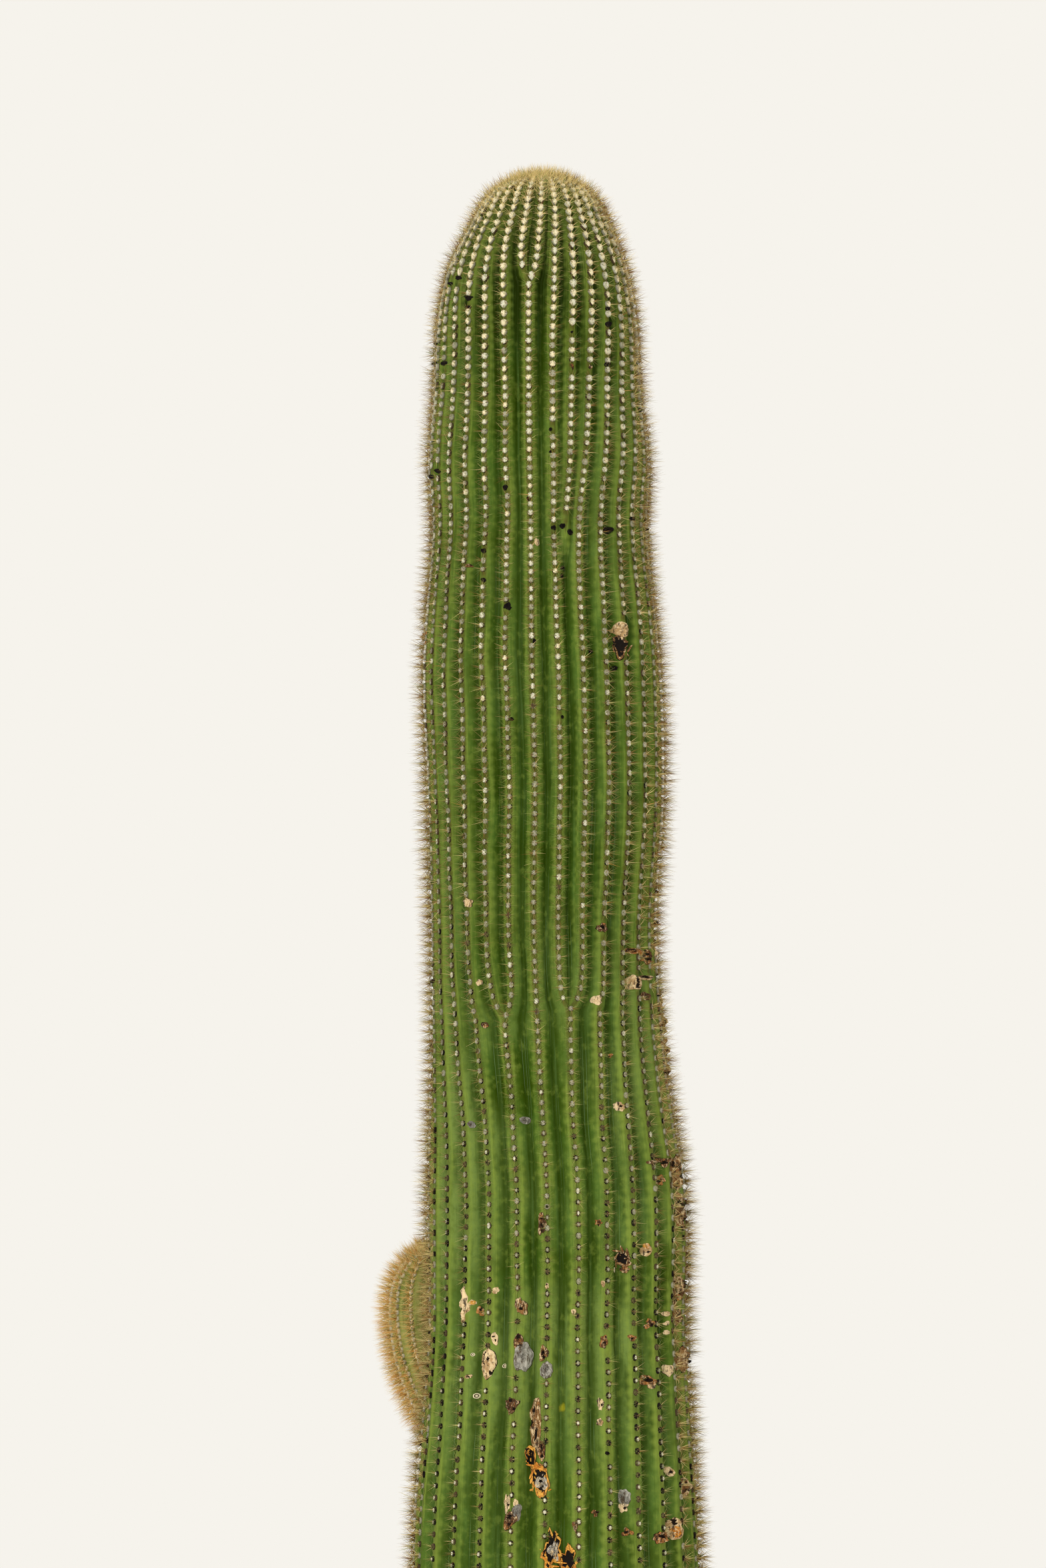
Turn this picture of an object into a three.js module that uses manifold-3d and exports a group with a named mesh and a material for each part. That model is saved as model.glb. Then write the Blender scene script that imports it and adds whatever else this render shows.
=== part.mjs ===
// A saguaro rooted in level ground: one ribbed trunk whose ribs fork on the way up, and its first arm bud.
// Millimetres, +Z up. The origin is the middle of the flat cut at ground level, and -Y is the side seen.
import * as THREE from "three";
import { mergeVertices } from "three/addons/utils/BufferGeometryUtils.js";
import Module from "manifold-3d";

const wasm = await Module();
wasm.setup();

// Driving dimensions
const TRUNK_HEIGHT = 4608;
const DOME_HEIGHT = 360;
// Width across the rib crests, and how far the trunk's middle has strayed to the right (+X), at each height
const TRUNK_STATIONS = [
  { z: 0, width: 500, sway: 0 },
  { z: 90, width: 462, sway: 0 },
  { z: 300, width: 452, sway: 0 },
  { z: 750, width: 480, sway: 0 },
  { z: 1300, width: 530, sway: -3 },
  { z: 1820, width: 553, sway: -5 },
  { z: 2250, width: 504, sway: -2 },
  { z: 2520, width: 502, sway: -2 },
  { z: 2780, width: 463, sway: -18 },
  { z: 3050, width: 446, sway: -29 },
  { z: 3320, width: 467, sway: -26 },
  { z: 3590, width: 470, sway: -32 },
  { z: 3865, width: 430, sway: -36 },
  { z: 4005, width: 440, sway: -38 },
  { z: 4145, width: 414, sway: -40 },
  { z: 4282, width: 400, sway: -41 },
  { z: 4352, width: 383, sway: -41 },
  { z: 4422, width: 350, sway: -40 },
  { z: 4492, width: 290, sway: -36 },
  { z: 4563, width: 215, sway: -33 },
  { z: 4608, width: 0, sway: -33 },
];
const RIBS_AT_GROUND = 27;
const MIDDLE_RIB_DEG = -5.3;
// Forks, by rib: counted round from the middle one of the side seen, towards the right.
// In the furrow that one of them opens, one more rib rises higher up.
const FORKS = [
  { rib: 0, height: 4342 },
  { rib: 1, height: 2880, newRibAt: 3870 },
  { rib: 26, height: 2865 },
];
const FORK_OPENING = 28;
const FORK_ROOM_BELOW = 350;
const FORK_ROOM_ABOVE = 250;
const FORK_ROOM_FADE = 1.25;
const NEW_RIB_RISE = 140;
const NEW_RIB_RUN = 450;
const CLOSED_GAP = 0.04;

// The arm points away to the back left: its azimuth runs from the front, towards the right
const ARM_AZIMUTH = THREE.MathUtils.degToRad(-142.5);
const ARM_FOOT_HEIGHT = 2060;
// The arm's middle line, outwards from the trunk's axis and upwards from the arm's foot
const ARM_FOOT = [195, 0];
const ARM_ELBOW = [385, -5];
const ARM_TIP = [384, 372];
const ARM_STATIONS = [
  { along: 0, width: 140 },
  { along: 0.25, width: 178 },
  { along: 0.5, width: 218 },
  { along: 0.67, width: 226 },
  { along: 0.81, width: 212 },
  { along: 0.89, width: 176 },
  { along: 0.95, width: 125 },
  { along: 1, width: 0 },
];
const ARM_RIBS = 17;

const RIB_DEPTH = 22;
const RIB_DEPTH_PER_PITCH = 0.44;
const ARM_RIB_DEPTH_PER_PITCH = 0.36;
const CORKY_FOOT_HEIGHT = 900;
const CORKY_RIB_SHARE = 0.4;
const COLUMNS_PER_GAP = 4;
const TRUNK_RINGS = 14;
const DOME_RINGS = 8;
const ARM_RINGS = 16;
const GAP = 0.55;

const SPINE_LENGTH = 27;
const SPINE_RADIUS = 2.2;
const SPINE_SIDES = 3;
const SPINE_SUNK = 6;
// No stout spines on the trunk this near the arm, round it and above or below the arm's middle
const ARM_CLEAR_ANGLE = THREE.MathUtils.degToRad(34);
const ARM_CLEAR_HEIGHT = 280;
const ARM_NECK = 0.45;
const CROWN_SPINE_ROWS = 3;
const CROWN_CORE = 7;
const CROWN_SUNK = 8;

const GREEN = { color: 0x5d7c36, roughness: 0.55, metalness: 0 };
const YOUNG_GREEN = { color: 0x76893c, roughness: 0.55, metalness: 0 };
const STRAW = { color: 0xc4ab6c, roughness: 0.85, metalness: 0 };
const GOLD = { color: 0xbe9458, roughness: 0.85, metalness: 0 };

const { clamp, degToRad, lerp, smoothstep } = THREE.MathUtils;
const TURN = 2 * Math.PI;

// A number from 0 to 1 that looks random, the same for the same rib and ring
function seeded(rib, ring) {
  const s = Math.sin(rib * 127.1 + ring * 311.7) * 43758.5453;
  return s - Math.floor(s);
}

// The smooth curve through (xs, ys) at x: a cubic in each stretch, with its slopes set by the neighbours
function smoothCurve(xs, ys, x) {
  const last = xs.length - 1;
  const i = clamp(xs.findLastIndex((v) => v <= x), 0, last - 1);
  const slopeAt = (k) => {
    const [before, after] = [Math.max(k - 1, 0), Math.min(k + 1, last)];
    return (ys[after] - ys[before]) / (xs[after] - xs[before]);
  };
  const step = xs[i + 1] - xs[i];
  const t = clamp((x - xs[i]) / step, 0, 1);
  const [t2, t3] = [t * t, t * t * t];
  return (
    (2 * t3 - 3 * t2 + 1) * ys[i] +
    (t3 - 2 * t2 + t) * step * slopeAt(i) +
    (3 * t2 - 2 * t3) * ys[i + 1] +
    (t3 - t2) * step * slopeAt(i + 1)
  );
}

// Radius over the rib crests. It is the width's square that runs smoothly, so the tip is a round dome.
function crestRadius(stations, key, x) {
  const square = smoothCurve(stations.map((s) => s[key]), stations.map((s) => s.width ** 2), x);
  return Math.sqrt(Math.max(square, 0)) / 2;
}

// How far the skin lies below the crests, t of the way over a gap: round on the crest, sharp in the furrow
const furrow = (t, depth) => depth * (1 - Math.abs(Math.cos(Math.PI * t)));

// A closed skin of rings: row 0 is its tip, and the last row the middle of its foot
function skin(columns, rows, pointAt) {
  const geometry = new THREE.SphereGeometry(1, columns, rows);
  const position = geometry.getAttribute("position");
  for (let row = 0; row <= rows; row++)
    for (let column = 0; column <= columns; column++) {
      const point = pointAt(column % columns, row);
      position.setXYZ(row * (columns + 1) + column, point.x, point.y, point.z);
    }
  return geometry;
}

function toSolid(geometry) {
  const bare = geometry.clone();
  bare.deleteAttribute("normal");
  bare.deleteAttribute("uv");
  const merged = mergeVertices(bare, 1e-3);
  return new wasm.Manifold(
    new wasm.Mesh({
      numProp: 3,
      vertProperties: merged.getAttribute("position").array,
      triVerts: new Uint32Array(merged.index.array),
    }),
  );
}

function toMesh(name, solid, finish) {
  const { vertProperties, triVerts } = solid.getMesh();
  const geometry = new THREE.BufferGeometry();
  geometry.setAttribute("position", new THREE.BufferAttribute(vertProperties, 3));
  geometry.setIndex(new THREE.BufferAttribute(triVerts, 1));
  geometry.computeVertexNormals();
  const mesh = new THREE.Mesh(geometry, new THREE.MeshStandardMaterial(finish));
  mesh.name = name;
  return mesh;
}

// A needle that stands on a point of the skin and points along a direction
function spine(point, direction) {
  const needle = new THREE.ConeGeometry(SPINE_RADIUS, SPINE_LENGTH + SPINE_SUNK, SPINE_SIDES);
  needle.translate(0, (SPINE_LENGTH - SPINE_SUNK) / 2, 0);
  const up = new THREE.Vector3(0, 1, 0);
  needle.applyQuaternion(new THREE.Quaternion().setFromUnitVectors(up, direction.normalize()));
  needle.translate(point.x, point.y, point.z);
  return toSolid(needle);
}

// A mat of spines over the first rings of a dome: teeth on a low core, with a plug under it to be cut off
function crownMat(columns, rows, pointAt, middle) {
  const rim = CROWN_SPINE_ROWS + 1;
  return skin(columns / 2, rim + 1, (place, row) => {
    const column = place * 2;
    if (row > rim) return middle;
    if (row === rim) return pointAt(column, rows[rim], -CROWN_SUNK);
    const tooth = row === 0 || (place + row) % 2 === 0;
    const length = row === 0 ? SPINE_LENGTH : SPINE_LENGTH * lerp(0.75, 1, seeded(place, row));
    return pointAt(row === 0 ? 0 : column, rows[row], tooth ? length : CROWN_CORE);
  });
}

// Trunk

const trunkRadius = (z) => crestRadius(TRUNK_STATIONS, "z", z);
const trunkSway = (z) => smoothCurve(TRUNK_STATIONS.map((s) => s.z), TRUNK_STATIONS.map((s) => s.sway), z);

// The gaps between neighbouring crests, round from the middle rib. The crest before each gap stands from
// crestFrom up. A fork's gap opens at its height, and is in two halves where a new rib rises in it.
const TRUNK_GAPS = [];
for (let rib = 0; rib < RIBS_AT_GROUND; rib++) {
  for (const { height, newRibAt } of FORKS.filter((fork) => fork.rib === rib)) {
    TRUNK_GAPS.push({ opensAt: height, newRibAt, crestFrom: height + FORK_OPENING, half: 0 });
    if (newRibAt) TRUNK_GAPS.push({ opensAt: height, newRibAt, crestFrom: newRibAt, half: 1 });
  }
  TRUNK_GAPS.push({ opensAt: -Infinity, crestFrom: -Infinity, half: 0 });
}
const TRUNK_COLUMNS = TRUNK_GAPS.length * COLUMNS_PER_GAP;

// Ring heights from the tip down: closer towards the tip, with rings where ribs fork or rise
function trunkRows() {
  const shoulder = TRUNK_HEIGHT - DOME_HEIGHT;
  const heights = FORKS.flatMap((fork) => [fork.height, fork.height + 2 * FORK_OPENING]);
  for (const fork of FORKS.filter((f) => f.newRibAt)) heights.push(fork.newRibAt);
  for (let i = 0; i < DOME_RINGS; i++) heights.push(TRUNK_HEIGHT - DOME_HEIGHT * (i / DOME_RINGS) ** 2);
  for (let i = 0; i <= TRUNK_RINGS; i++) heights.push(shoulder * (1 - i / TRUNK_RINGS));
  return heights.sort((a, b) => b - a);
}
const TRUNK_ROWS = trunkRows();

// How much each full gap gives way to a fork's gap: the nearest the most
function givingWay(fork) {
  const nearness = TRUNK_GAPS.map((gap, i) => {
    const apart = Math.abs(i - fork);
    const places = Math.min(apart, TRUNK_GAPS.length - apart);
    return gap.opensAt === -Infinity ? Math.exp(-FORK_ROOM_FADE * places) : 0;
  });
  const total = nearness.reduce((sum, part) => sum + part, 0);
  return nearness.map((part) => part / total);
}
const GIVING_WAY = TRUNK_GAPS.map((gap, i) => givingWay(i));

// How far a gap has opened at height z, from nearly 0 to 1
const opened = (gap, z) => Math.max(1 - Math.exp((gap.opensAt - z) / FORK_OPENING), CLOSED_GAP);

// A gap's share of the way round, against 1 for a full one. Two halves have 1 between them, and grow to 2.
function share(gap, z) {
  if (!gap.newRibAt) return opened(gap, z);
  return (opened(gap, z) + smoothstep(z, gap.newRibAt - NEW_RIB_RISE, gap.newRibAt + NEW_RIB_RUN)) / 2;
}

// Where each rib crest stands at height z, in radians from the front, and how wide the gap after it is.
// The gaps beside a fork are wide below it and make room for it at once, those further round more slowly.
// The middle rib is the first, and its two branches part evenly from where it stands.
function trunkRibs(z) {
  const shares = TRUNK_GAPS.map((gap) => share(gap, z));
  TRUNK_GAPS.forEach((gap, fork) => {
    if (gap.opensAt === -Infinity) return;
    const room = smoothstep(z, gap.opensAt - FORK_ROOM_BELOW, gap.opensAt + FORK_ROOM_ABOVE);
    const lent = (room - opened(gap, z)) / (gap.newRibAt ? 2 : 1);
    GIVING_WAY[fork].forEach((part, i) => (shares[i] += part * lent));
  });
  const total = shares.reduce((sum, part) => sum + part, 0);
  let angle = degToRad(MIDDLE_RIB_DEG) - (TURN * shares[0]) / total / 2;
  return shares.map((part) => {
    const rib = { angle, width: (TURN * part) / total };
    angle += rib.width;
    return rib;
  });
}

// The way out of the trunk: level on its sides, and ever steeper over the dome to its tip
function trunkNormal(angle, z) {
  const step = 3;
  if (z > TRUNK_HEIGHT - step) return new THREE.Vector3(0, 0, 1);
  const fall = trunkRadius(z - step) - trunkRadius(z + step);
  return new THREE.Vector3(Math.sin(angle), -Math.cos(angle), fall / (2 * step)).normalize();
}

// A point of the trunk's skin, or raised off it: one of the columns, at height z.
// A halved gap is one furrow until the new rib has risen between its halves.
function trunkPoint(column, z, raised = 0) {
  const place = Math.floor(column / COLUMNS_PER_GAP);
  const gap = TRUNK_GAPS[place];
  const rib = trunkRibs(z)[place];
  const t = (column % COLUMNS_PER_GAP) / COLUMNS_PER_GAP;
  const angle = rib.angle + t * rib.width;
  const radius = trunkRadius(z);
  const cork = lerp(CORKY_RIB_SHARE, 1, smoothstep(z, 0, CORKY_FOOT_HEIGHT));
  const depth = (width) => Math.min(RIB_DEPTH * cork, RIB_DEPTH_PER_PITCH * radius * width);
  const risen = gap.newRibAt ? smoothstep(z, gap.newRibAt - NEW_RIB_RISE, gap.newRibAt) : 1;
  const asOne = furrow((t + gap.half) / 2, depth(2 * rib.width));
  const r = radius - lerp(asOne, furrow(t, depth(rib.width)), risen);
  const point = new THREE.Vector3(trunkSway(z) + r * Math.sin(angle), -r * Math.cos(angle), z);
  return point.addScaledVector(trunkNormal(angle, z), raised);
}

function trunkSkin(raised = 0) {
  const foot = new THREE.Vector3(0, 0, 0);
  return skin(TRUNK_COLUMNS, TRUNK_ROWS.length, (column, row) =>
    row < TRUNK_ROWS.length ? trunkPoint(column, TRUNK_ROWS[row], raised) : foot,
  );
}

// Stout spines on every third crest of a ring, one rib further on at each ring, none where the arm stands
function trunkSpines() {
  const spines = [];
  TRUNK_ROWS.forEach((z, row) => {
    if (z === 0 || row <= CROWN_SPINE_ROWS + 1) return;
    trunkRibs(z).forEach(({ angle }, rib) => {
      const merged = z < TRUNK_GAPS[rib].crestFrom;
      const fromArm = Math.abs(z - ARM_FOOT_HEIGHT - ARM_TIP[1] / 2);
      const byArm = Math.cos(angle - ARM_AZIMUTH) > Math.cos(ARM_CLEAR_ANGLE) && fromArm < ARM_CLEAR_HEIGHT;
      if ((row + rib) % 3 || merged || byArm) return;
      const out = trunkNormal(angle, z);
      out.z += lerp(-0.3, 0.4, seeded(rib, row));
      spines.push(spine(trunkPoint(rib * COLUMNS_PER_GAP, z), out));
    });
  });
  return spines;
}

const trunkRoom = toSolid(trunkSkin(GAP));
const matFoot = TRUNK_ROWS[CROWN_SPINE_ROWS + 1] - CROWN_SUNK;
const matMiddle = new THREE.Vector3(trunkSway(matFoot), 0, matFoot);
const trunkMat = toSolid(crownMat(TRUNK_COLUMNS, TRUNK_ROWS, trunkPoint, matMiddle));
const trunk = new THREE.Group();
trunk.add(toMesh("trunk", wasm.Manifold.union([toSolid(trunkSkin()), ...trunkSpines()]), GREEN));
trunk.add(toMesh("trunk_crown_spines", trunkMat.subtract(trunkRoom), STRAW));

// Arm, in its own upright plane: +X away from the trunk's axis, +Z up from the arm's foot

const armLine = new THREE.QuadraticBezierCurve3(
  ...[ARM_FOOT, ARM_ELBOW, ARM_TIP].map(([out, up]) => new THREE.Vector3(out, 0, up)),
);
const armRadius = (along) => crestRadius(ARM_STATIONS, "along", along);
const ARM_COLUMNS = ARM_RIBS * COLUMNS_PER_GAP;
// Ring places from the tip to the foot, closer towards the tip
const ARM_ROWS = Array.from({ length: ARM_RINGS + 1 }, (_, i) => 1 - (i / ARM_RINGS) ** 1.6);

// The way out of the arm on the side its spoke points to
function armNormal(spoke, along) {
  const step = 0.004;
  const tangent = armLine.getTangentAt(along);
  if (along > 1 - step) return tangent;
  const fall = armRadius(along - step) - armRadius(along + step);
  return tangent.multiplyScalar(fall / (2 * step * armLine.getLength())).add(spoke).normalize();
}

// A point of the arm's skin, or raised off it: one of the columns, a share of the way along
function armPoint(column, along, raised = 0) {
  const side = new THREE.Vector3(0, 1, 0);
  const front = new THREE.Vector3().crossVectors(side, armLine.getTangentAt(along));
  const angle = (TURN * column) / ARM_COLUMNS;
  const spoke = front.multiplyScalar(Math.cos(angle)).addScaledVector(side, Math.sin(angle));
  const t = (column % COLUMNS_PER_GAP) / COLUMNS_PER_GAP;
  const radius = armRadius(along);
  const depth = (ARM_RIB_DEPTH_PER_PITCH * TURN * radius) / ARM_RIBS;
  const skinPoint = armLine.getPointAt(along).addScaledVector(spoke, radius - furrow(t, depth));
  return skinPoint.addScaledVector(armNormal(spoke, along), raised);
}

function armSkin(raised = 0) {
  return skin(ARM_COLUMNS, ARM_ROWS.length, (column, row) =>
    row < ARM_ROWS.length ? armPoint(column, ARM_ROWS[row], raised) : armLine.getPointAt(0),
  );
}

function armSpines() {
  const spines = [];
  ARM_ROWS.forEach((along, row) => {
    if (row <= CROWN_SPINE_ROWS + 1 || along < ARM_NECK) return;
    for (let rib = row % 2; rib < ARM_RIBS; rib += 2) {
      const root = armPoint(rib * COLUMNS_PER_GAP, along);
      const out = armPoint(rib * COLUMNS_PER_GAP, along, 1).sub(root);
      out.addScaledVector(armLine.getTangentAt(along), lerp(-0.2, 0.4, seeded(rib, row)));
      spines.push(spine(root, out));
    }
  });
  return spines;
}

const arm = new THREE.Group();
arm.position.z = ARM_FOOT_HEIGHT;
arm.rotation.z = ARM_AZIMUTH - TURN / 4;
arm.updateMatrixWorld();
const toArm = arm.matrixWorld.clone().invert();
const roomByArm = toSolid(trunkSkin(GAP).applyMatrix4(toArm));
const armMatMiddle = armLine.getPointAt(ARM_ROWS[CROWN_SPINE_ROWS + 2]);
const armMat = toSolid(crownMat(ARM_COLUMNS, ARM_ROWS, armPoint, armMatMiddle));
const wholeArm = wasm.Manifold.union([toSolid(armSkin()), ...armSpines()]);
arm.add(toMesh("arm", wholeArm.subtract(roomByArm), YOUNG_GREEN));
arm.add(toMesh("arm_crown_spines", armMat.subtract(toSolid(armSkin(GAP))).subtract(roomByArm), GOLD));

const saguaro = new THREE.Group();
saguaro.add(trunk, arm);
export default saguaro;
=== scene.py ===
"""The looks of a saguaro: its skin, areoles, spines and scars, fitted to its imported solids.

Metres, +Z up. The origin is the middle of the flat cut at ground level, and -Y is the side seen.
Angles go round the trunk from the side seen, towards its right.
"""

import math
import typing

import bpy
import numpy as np
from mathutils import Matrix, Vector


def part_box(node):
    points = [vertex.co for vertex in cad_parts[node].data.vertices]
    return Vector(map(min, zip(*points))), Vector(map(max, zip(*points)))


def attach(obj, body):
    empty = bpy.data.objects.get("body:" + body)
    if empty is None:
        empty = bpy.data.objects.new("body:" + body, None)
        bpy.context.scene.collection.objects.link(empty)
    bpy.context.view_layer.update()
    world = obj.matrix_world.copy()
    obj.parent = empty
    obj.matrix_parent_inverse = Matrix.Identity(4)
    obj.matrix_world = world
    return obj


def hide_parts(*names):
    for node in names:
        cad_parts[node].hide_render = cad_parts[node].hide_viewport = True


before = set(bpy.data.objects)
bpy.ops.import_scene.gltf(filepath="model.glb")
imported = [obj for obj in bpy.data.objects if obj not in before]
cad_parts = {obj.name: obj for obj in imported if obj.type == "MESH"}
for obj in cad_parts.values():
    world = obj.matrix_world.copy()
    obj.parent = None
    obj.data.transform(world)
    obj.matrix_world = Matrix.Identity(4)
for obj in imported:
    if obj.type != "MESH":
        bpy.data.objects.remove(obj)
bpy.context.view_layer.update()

bl_info = {
    "name": "Saguaro",
    "version": (1, 0, 0),
    "blender": (4, 5, 0),
    "location": "View3D > Sidebar > Saguaro",
    "description": "Skin, areoles, spines and scars of a saguaro, fitted to its packed solids",
    "category": "Add Mesh",
}

TURN = 2 * math.pi
UP = np.array([0, 0, 1.0])

# Camera, and the frame it fills
PHOTO_WIDTH, PHOTO_HEIGHT = 1568, 2351
LENS_MM = 85
SENSOR_MM = 36
FOCAL_PIXELS = LENS_MM / SENSOR_MM * PHOTO_HEIGHT
CAMERA_PLACE = (-0.070, -7.4, 2.385)
CAMERA_TILT = math.radians(7.44)
METRES_PER_PIXEL = 0.00133

# Trunk: width across the rib crests and sway to the right at each height, as in its solid
TRUNK_HEIGHT = round(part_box("trunk")[1][2], 3)
TRUNK_STATIONS = np.array([
    (0, 0.500, 0), (0.090, 0.462, 0), (0.300, 0.452, 0), (0.750, 0.480, 0), (1.300, 0.530, -0.003),
    (1.820, 0.553, -0.005), (2.250, 0.504, -0.002), (2.520, 0.502, -0.002), (2.780, 0.463, -0.018),
    (3.050, 0.446, -0.029), (3.320, 0.467, -0.026), (3.590, 0.470, -0.032), (3.865, 0.430, -0.036),
    (4.005, 0.440, -0.038), (4.145, 0.414, -0.040), (4.282, 0.400, -0.041), (4.352, 0.383, -0.041),
    (4.422, 0.350, -0.040), (4.492, 0.290, -0.036), (4.563, 0.215, -0.033), (TRUNK_HEIGHT, 0, -0.033),
])
RIBS_AT_GROUND = 27
MIDDLE_RIB = math.radians(-5.3)
# Forks, by rib: the height of each, and of the new rib that rises in the furrow it opens
FORKS = {0: (4.342, None), 1: (2.880, 3.870), 26: (2.865, None)}
FORK_OPENING = 0.028
FORK_ROOM_BELOW = 0.350
FORK_ROOM_ABOVE = 0.250
FORK_ROOM_FADE = 1.25
NEW_RIB_RISE = 0.140
NEW_RIB_RUN = 0.450
CREST_RISE = 0.02
CLOSED_GAP = 0.04
RIB_DEPTH = 0.022
RIB_DEPTH_PER_PITCH = 0.44
SMOOTH_TIP = 0.08
CORKY_FOOT_HEIGHT = 0.900
CORKY_RIB_SHARE = 0.4
UNEVEN_RIBS = 0.03
WANDER_RUNS = (0.083, 0.031)
SWELLING = 0.0016
# Waves of the swelling: how many lobes each has round the trunk, and metres of height to a radian
SWELL_WAVES = ((3, 0.21), (2, -0.13), (5, 0.09))
TUBERCLE = 0.0032
TUBERCLE_WIDTH = 0.17
TUBERCLE_LENGTH = 0.006

# Arm: its middle line, outwards from the trunk's axis and upwards from its foot, and its widths
ARM_AZIMUTH = math.radians(-142.5)
ARM_FOOT_HEIGHT = 2.060
ARM_LINE = np.array([(0.195, 0), (0.385, -0.005), (0.384, 0.372)])
ARM_STATIONS = np.array([
    (0, 0.140), (0.25, 0.178), (0.5, 0.218), (0.67, 0.226),
    (0.81, 0.212), (0.89, 0.176), (0.95, 0.125), (1, 0),
])
ARM_RIBS = 17
ARM_RIB_DEPTH_PER_PITCH = 0.36
ARM_AREOLE_PITCH = 0.0125
ARM_TUBERCLE_WIDTH = 0.2
ARM_TUBERCLE_LENGTH = 0.004

# Areoles: how far apart they stand along a rib, and their width and height, at each height of the trunk
AREOLE_STATIONS = np.array([
    (0, 0.026, 0.0080, 0.0090), (1.8, 0.0230, 0.0110, 0.0124), (2.2, 0.0218, 0.0110, 0.0126),
    (2.6, 0.0204, 0.0106, 0.0124), (3.0, 0.0196, 0.0108, 0.0126), (3.45, 0.0196, 0.0112, 0.0128),
    (3.59, 0.0208, 0.0118, 0.0132), (3.76, 0.0172, 0.0116, 0.0124), (3.95, 0.0186, 0.0126, 0.0132),
    (4.25, 0.0196, 0.0146, 0.0144), (4.36, 0.0210, 0.0154, 0.0164), (4.45, 0.0216, 0.0154, 0.0166),
    (4.53, 0.0186, 0.0144, 0.0156), (4.58, 0.0150, 0.0120, 0.0130),
    (TRUNK_HEIGHT, 0.0120, 0.0090, 0.0100),
])

# Skins: rows apart above the photograph's edge and below it, and columns to a gap between two ribs
SEEN_FROM = 1.75
ROW_STEP_SEEN = 0.0055
ROW_STEP_BELOW = 0.0140
TIP_ROOM = 0.004
GROUND_ROOM = 0.005
COLUMNS_PER_GAP = 12
ARM_COLUMNS_PER_GAP = 10
ARM_ROWS = 110


# Plain maths

def ease(t):
    """0 up to t = 0, 1 from t = 1, and 3t^2 - 2t^3 between."""
    t = np.clip(t, 0, 1)
    return t * t * (3 - 2 * t)


def risen(x, start, run):
    """0 up to the start, 1 from one run past it, and smooth between."""
    return ease((x - start) / run)


def lerp(a, b, t):
    """a at t = 0, b at t = 1, straight between."""
    return a + (b - a) * t


def unit(vectors):
    """The vectors along the last axis, each divided by its length."""
    return vectors / np.maximum(np.linalg.norm(vectors, axis=-1, keepdims=True), 1e-12)


def smooth_curve(xs, ys, x):
    """Cubics between the stations, each sloped at a station like the line through its two neighbours."""
    last = len(xs) - 1
    places = np.arange(last + 1)
    before, after = np.maximum(places - 1, 0), np.minimum(places + 1, last)
    slopes = (ys[after] - ys[before]) / (xs[after] - xs[before])
    i = np.clip(np.searchsorted(xs, x, side="right") - 1, 0, last - 1)
    step = xs[i + 1] - xs[i]
    t = np.clip((x - xs[i]) / step, 0, 1)
    t2, t3 = t * t, t * t * t
    start = (2 * t3 - 3 * t2 + 1) * ys[i] + (t3 - 2 * t2 + t) * step * slopes[i]
    end = (3 * t2 - 2 * t3) * ys[i + 1] + (t3 - t2) * step * slopes[i + 1]
    return start + end


def crest_radius(stations, x):
    """Half the width across the crests. The width's square runs smoothly, so the tip is a round dome."""
    square = smooth_curve(stations[:, 0], stations[:, 1] ** 2, x)
    return np.sqrt(np.maximum(square, 0)) / 2


def furrow(t, depth):
    """Depth below the crests, t of the way over a gap: depth * (1 - |cos(pi t)|), sharp in the middle."""
    return depth * (1 - np.abs(np.cos(math.pi * t)))


# The trunk's surface

def gap_list():
    """Each gap from the middle rib on: height of its opening, crest and new rib, and 1 if it is a half."""
    never = -math.inf
    gaps = []
    for rib in range(RIBS_AT_GROUND):
        if rib in FORKS:
            height, new_rib = FORKS[rib]
            gaps.append((height, height + FORK_OPENING, new_rib or never, 0))
            if new_rib:
                gaps.append((height, new_rib, new_rib, 1))
        gaps.append((never, never, never, 0))
    return np.array(gaps).T


OPENS_AT, CREST_FROM, NEW_RIB_AT, HALF = gap_list()
GAPS = len(OPENS_AT)
TABLE_STEP = 0.002


def rib_tables():
    """Angle of each crest and width of the gap after it, for heights TABLE_STEP apart.

    A gap's share of the way round is 1 - exp(-(z - fork) / FORK_OPENING), half that for a half gap, which
    grows to a whole one over the new rib's run. The gaps next to a fork give way to it, the nearest most:
    they hold its room from below it, and hand it over as it opens. Two slow sines of the height make each a
    little uneven, and all shares then scale to one turn.
    """
    z = np.arange(0, TRUNK_HEIGHT + TABLE_STEP, TABLE_STEP)[:, None]
    halved = np.isfinite(NEW_RIB_AT)
    opened = np.maximum(1 - np.exp(np.minimum(OPENS_AT - z, 0) / FORK_OPENING), CLOSED_GAP)
    grown = ease((z - NEW_RIB_AT + NEW_RIB_RISE) / (NEW_RIB_RISE + NEW_RIB_RUN))
    share = np.where(halved, (opened + grown) / 2, opened)
    room = ease((z - OPENS_AT + FORK_ROOM_BELOW) / (FORK_ROOM_BELOW + FORK_ROOM_ABOVE))
    lent = (room - opened) / np.where(halved, 2, 1)
    apart = np.abs(np.arange(GAPS)[:, None] - np.arange(GAPS))
    nearness = np.exp(-FORK_ROOM_FADE * np.minimum(apart, GAPS - apart)) * ~np.isfinite(OPENS_AT)
    share = share + lent @ (nearness / nearness.sum(1, keepdims=True))
    phases = np.random.default_rng(11).uniform(0, TURN, (2, GAPS))
    wander = sum(np.sin(z / run + phase) for run, phase in zip(WANDER_RUNS, phases))
    share = share * (1 + UNEVEN_RIBS * wander / 2)
    widths = TURN * share / share.sum(1, keepdims=True)
    return MIDDLE_RIB - widths[:, :1] / 2 + np.cumsum(widths, 1) - widths, widths


CREST_ANGLES, GAP_WIDTHS = rib_tables()


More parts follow.
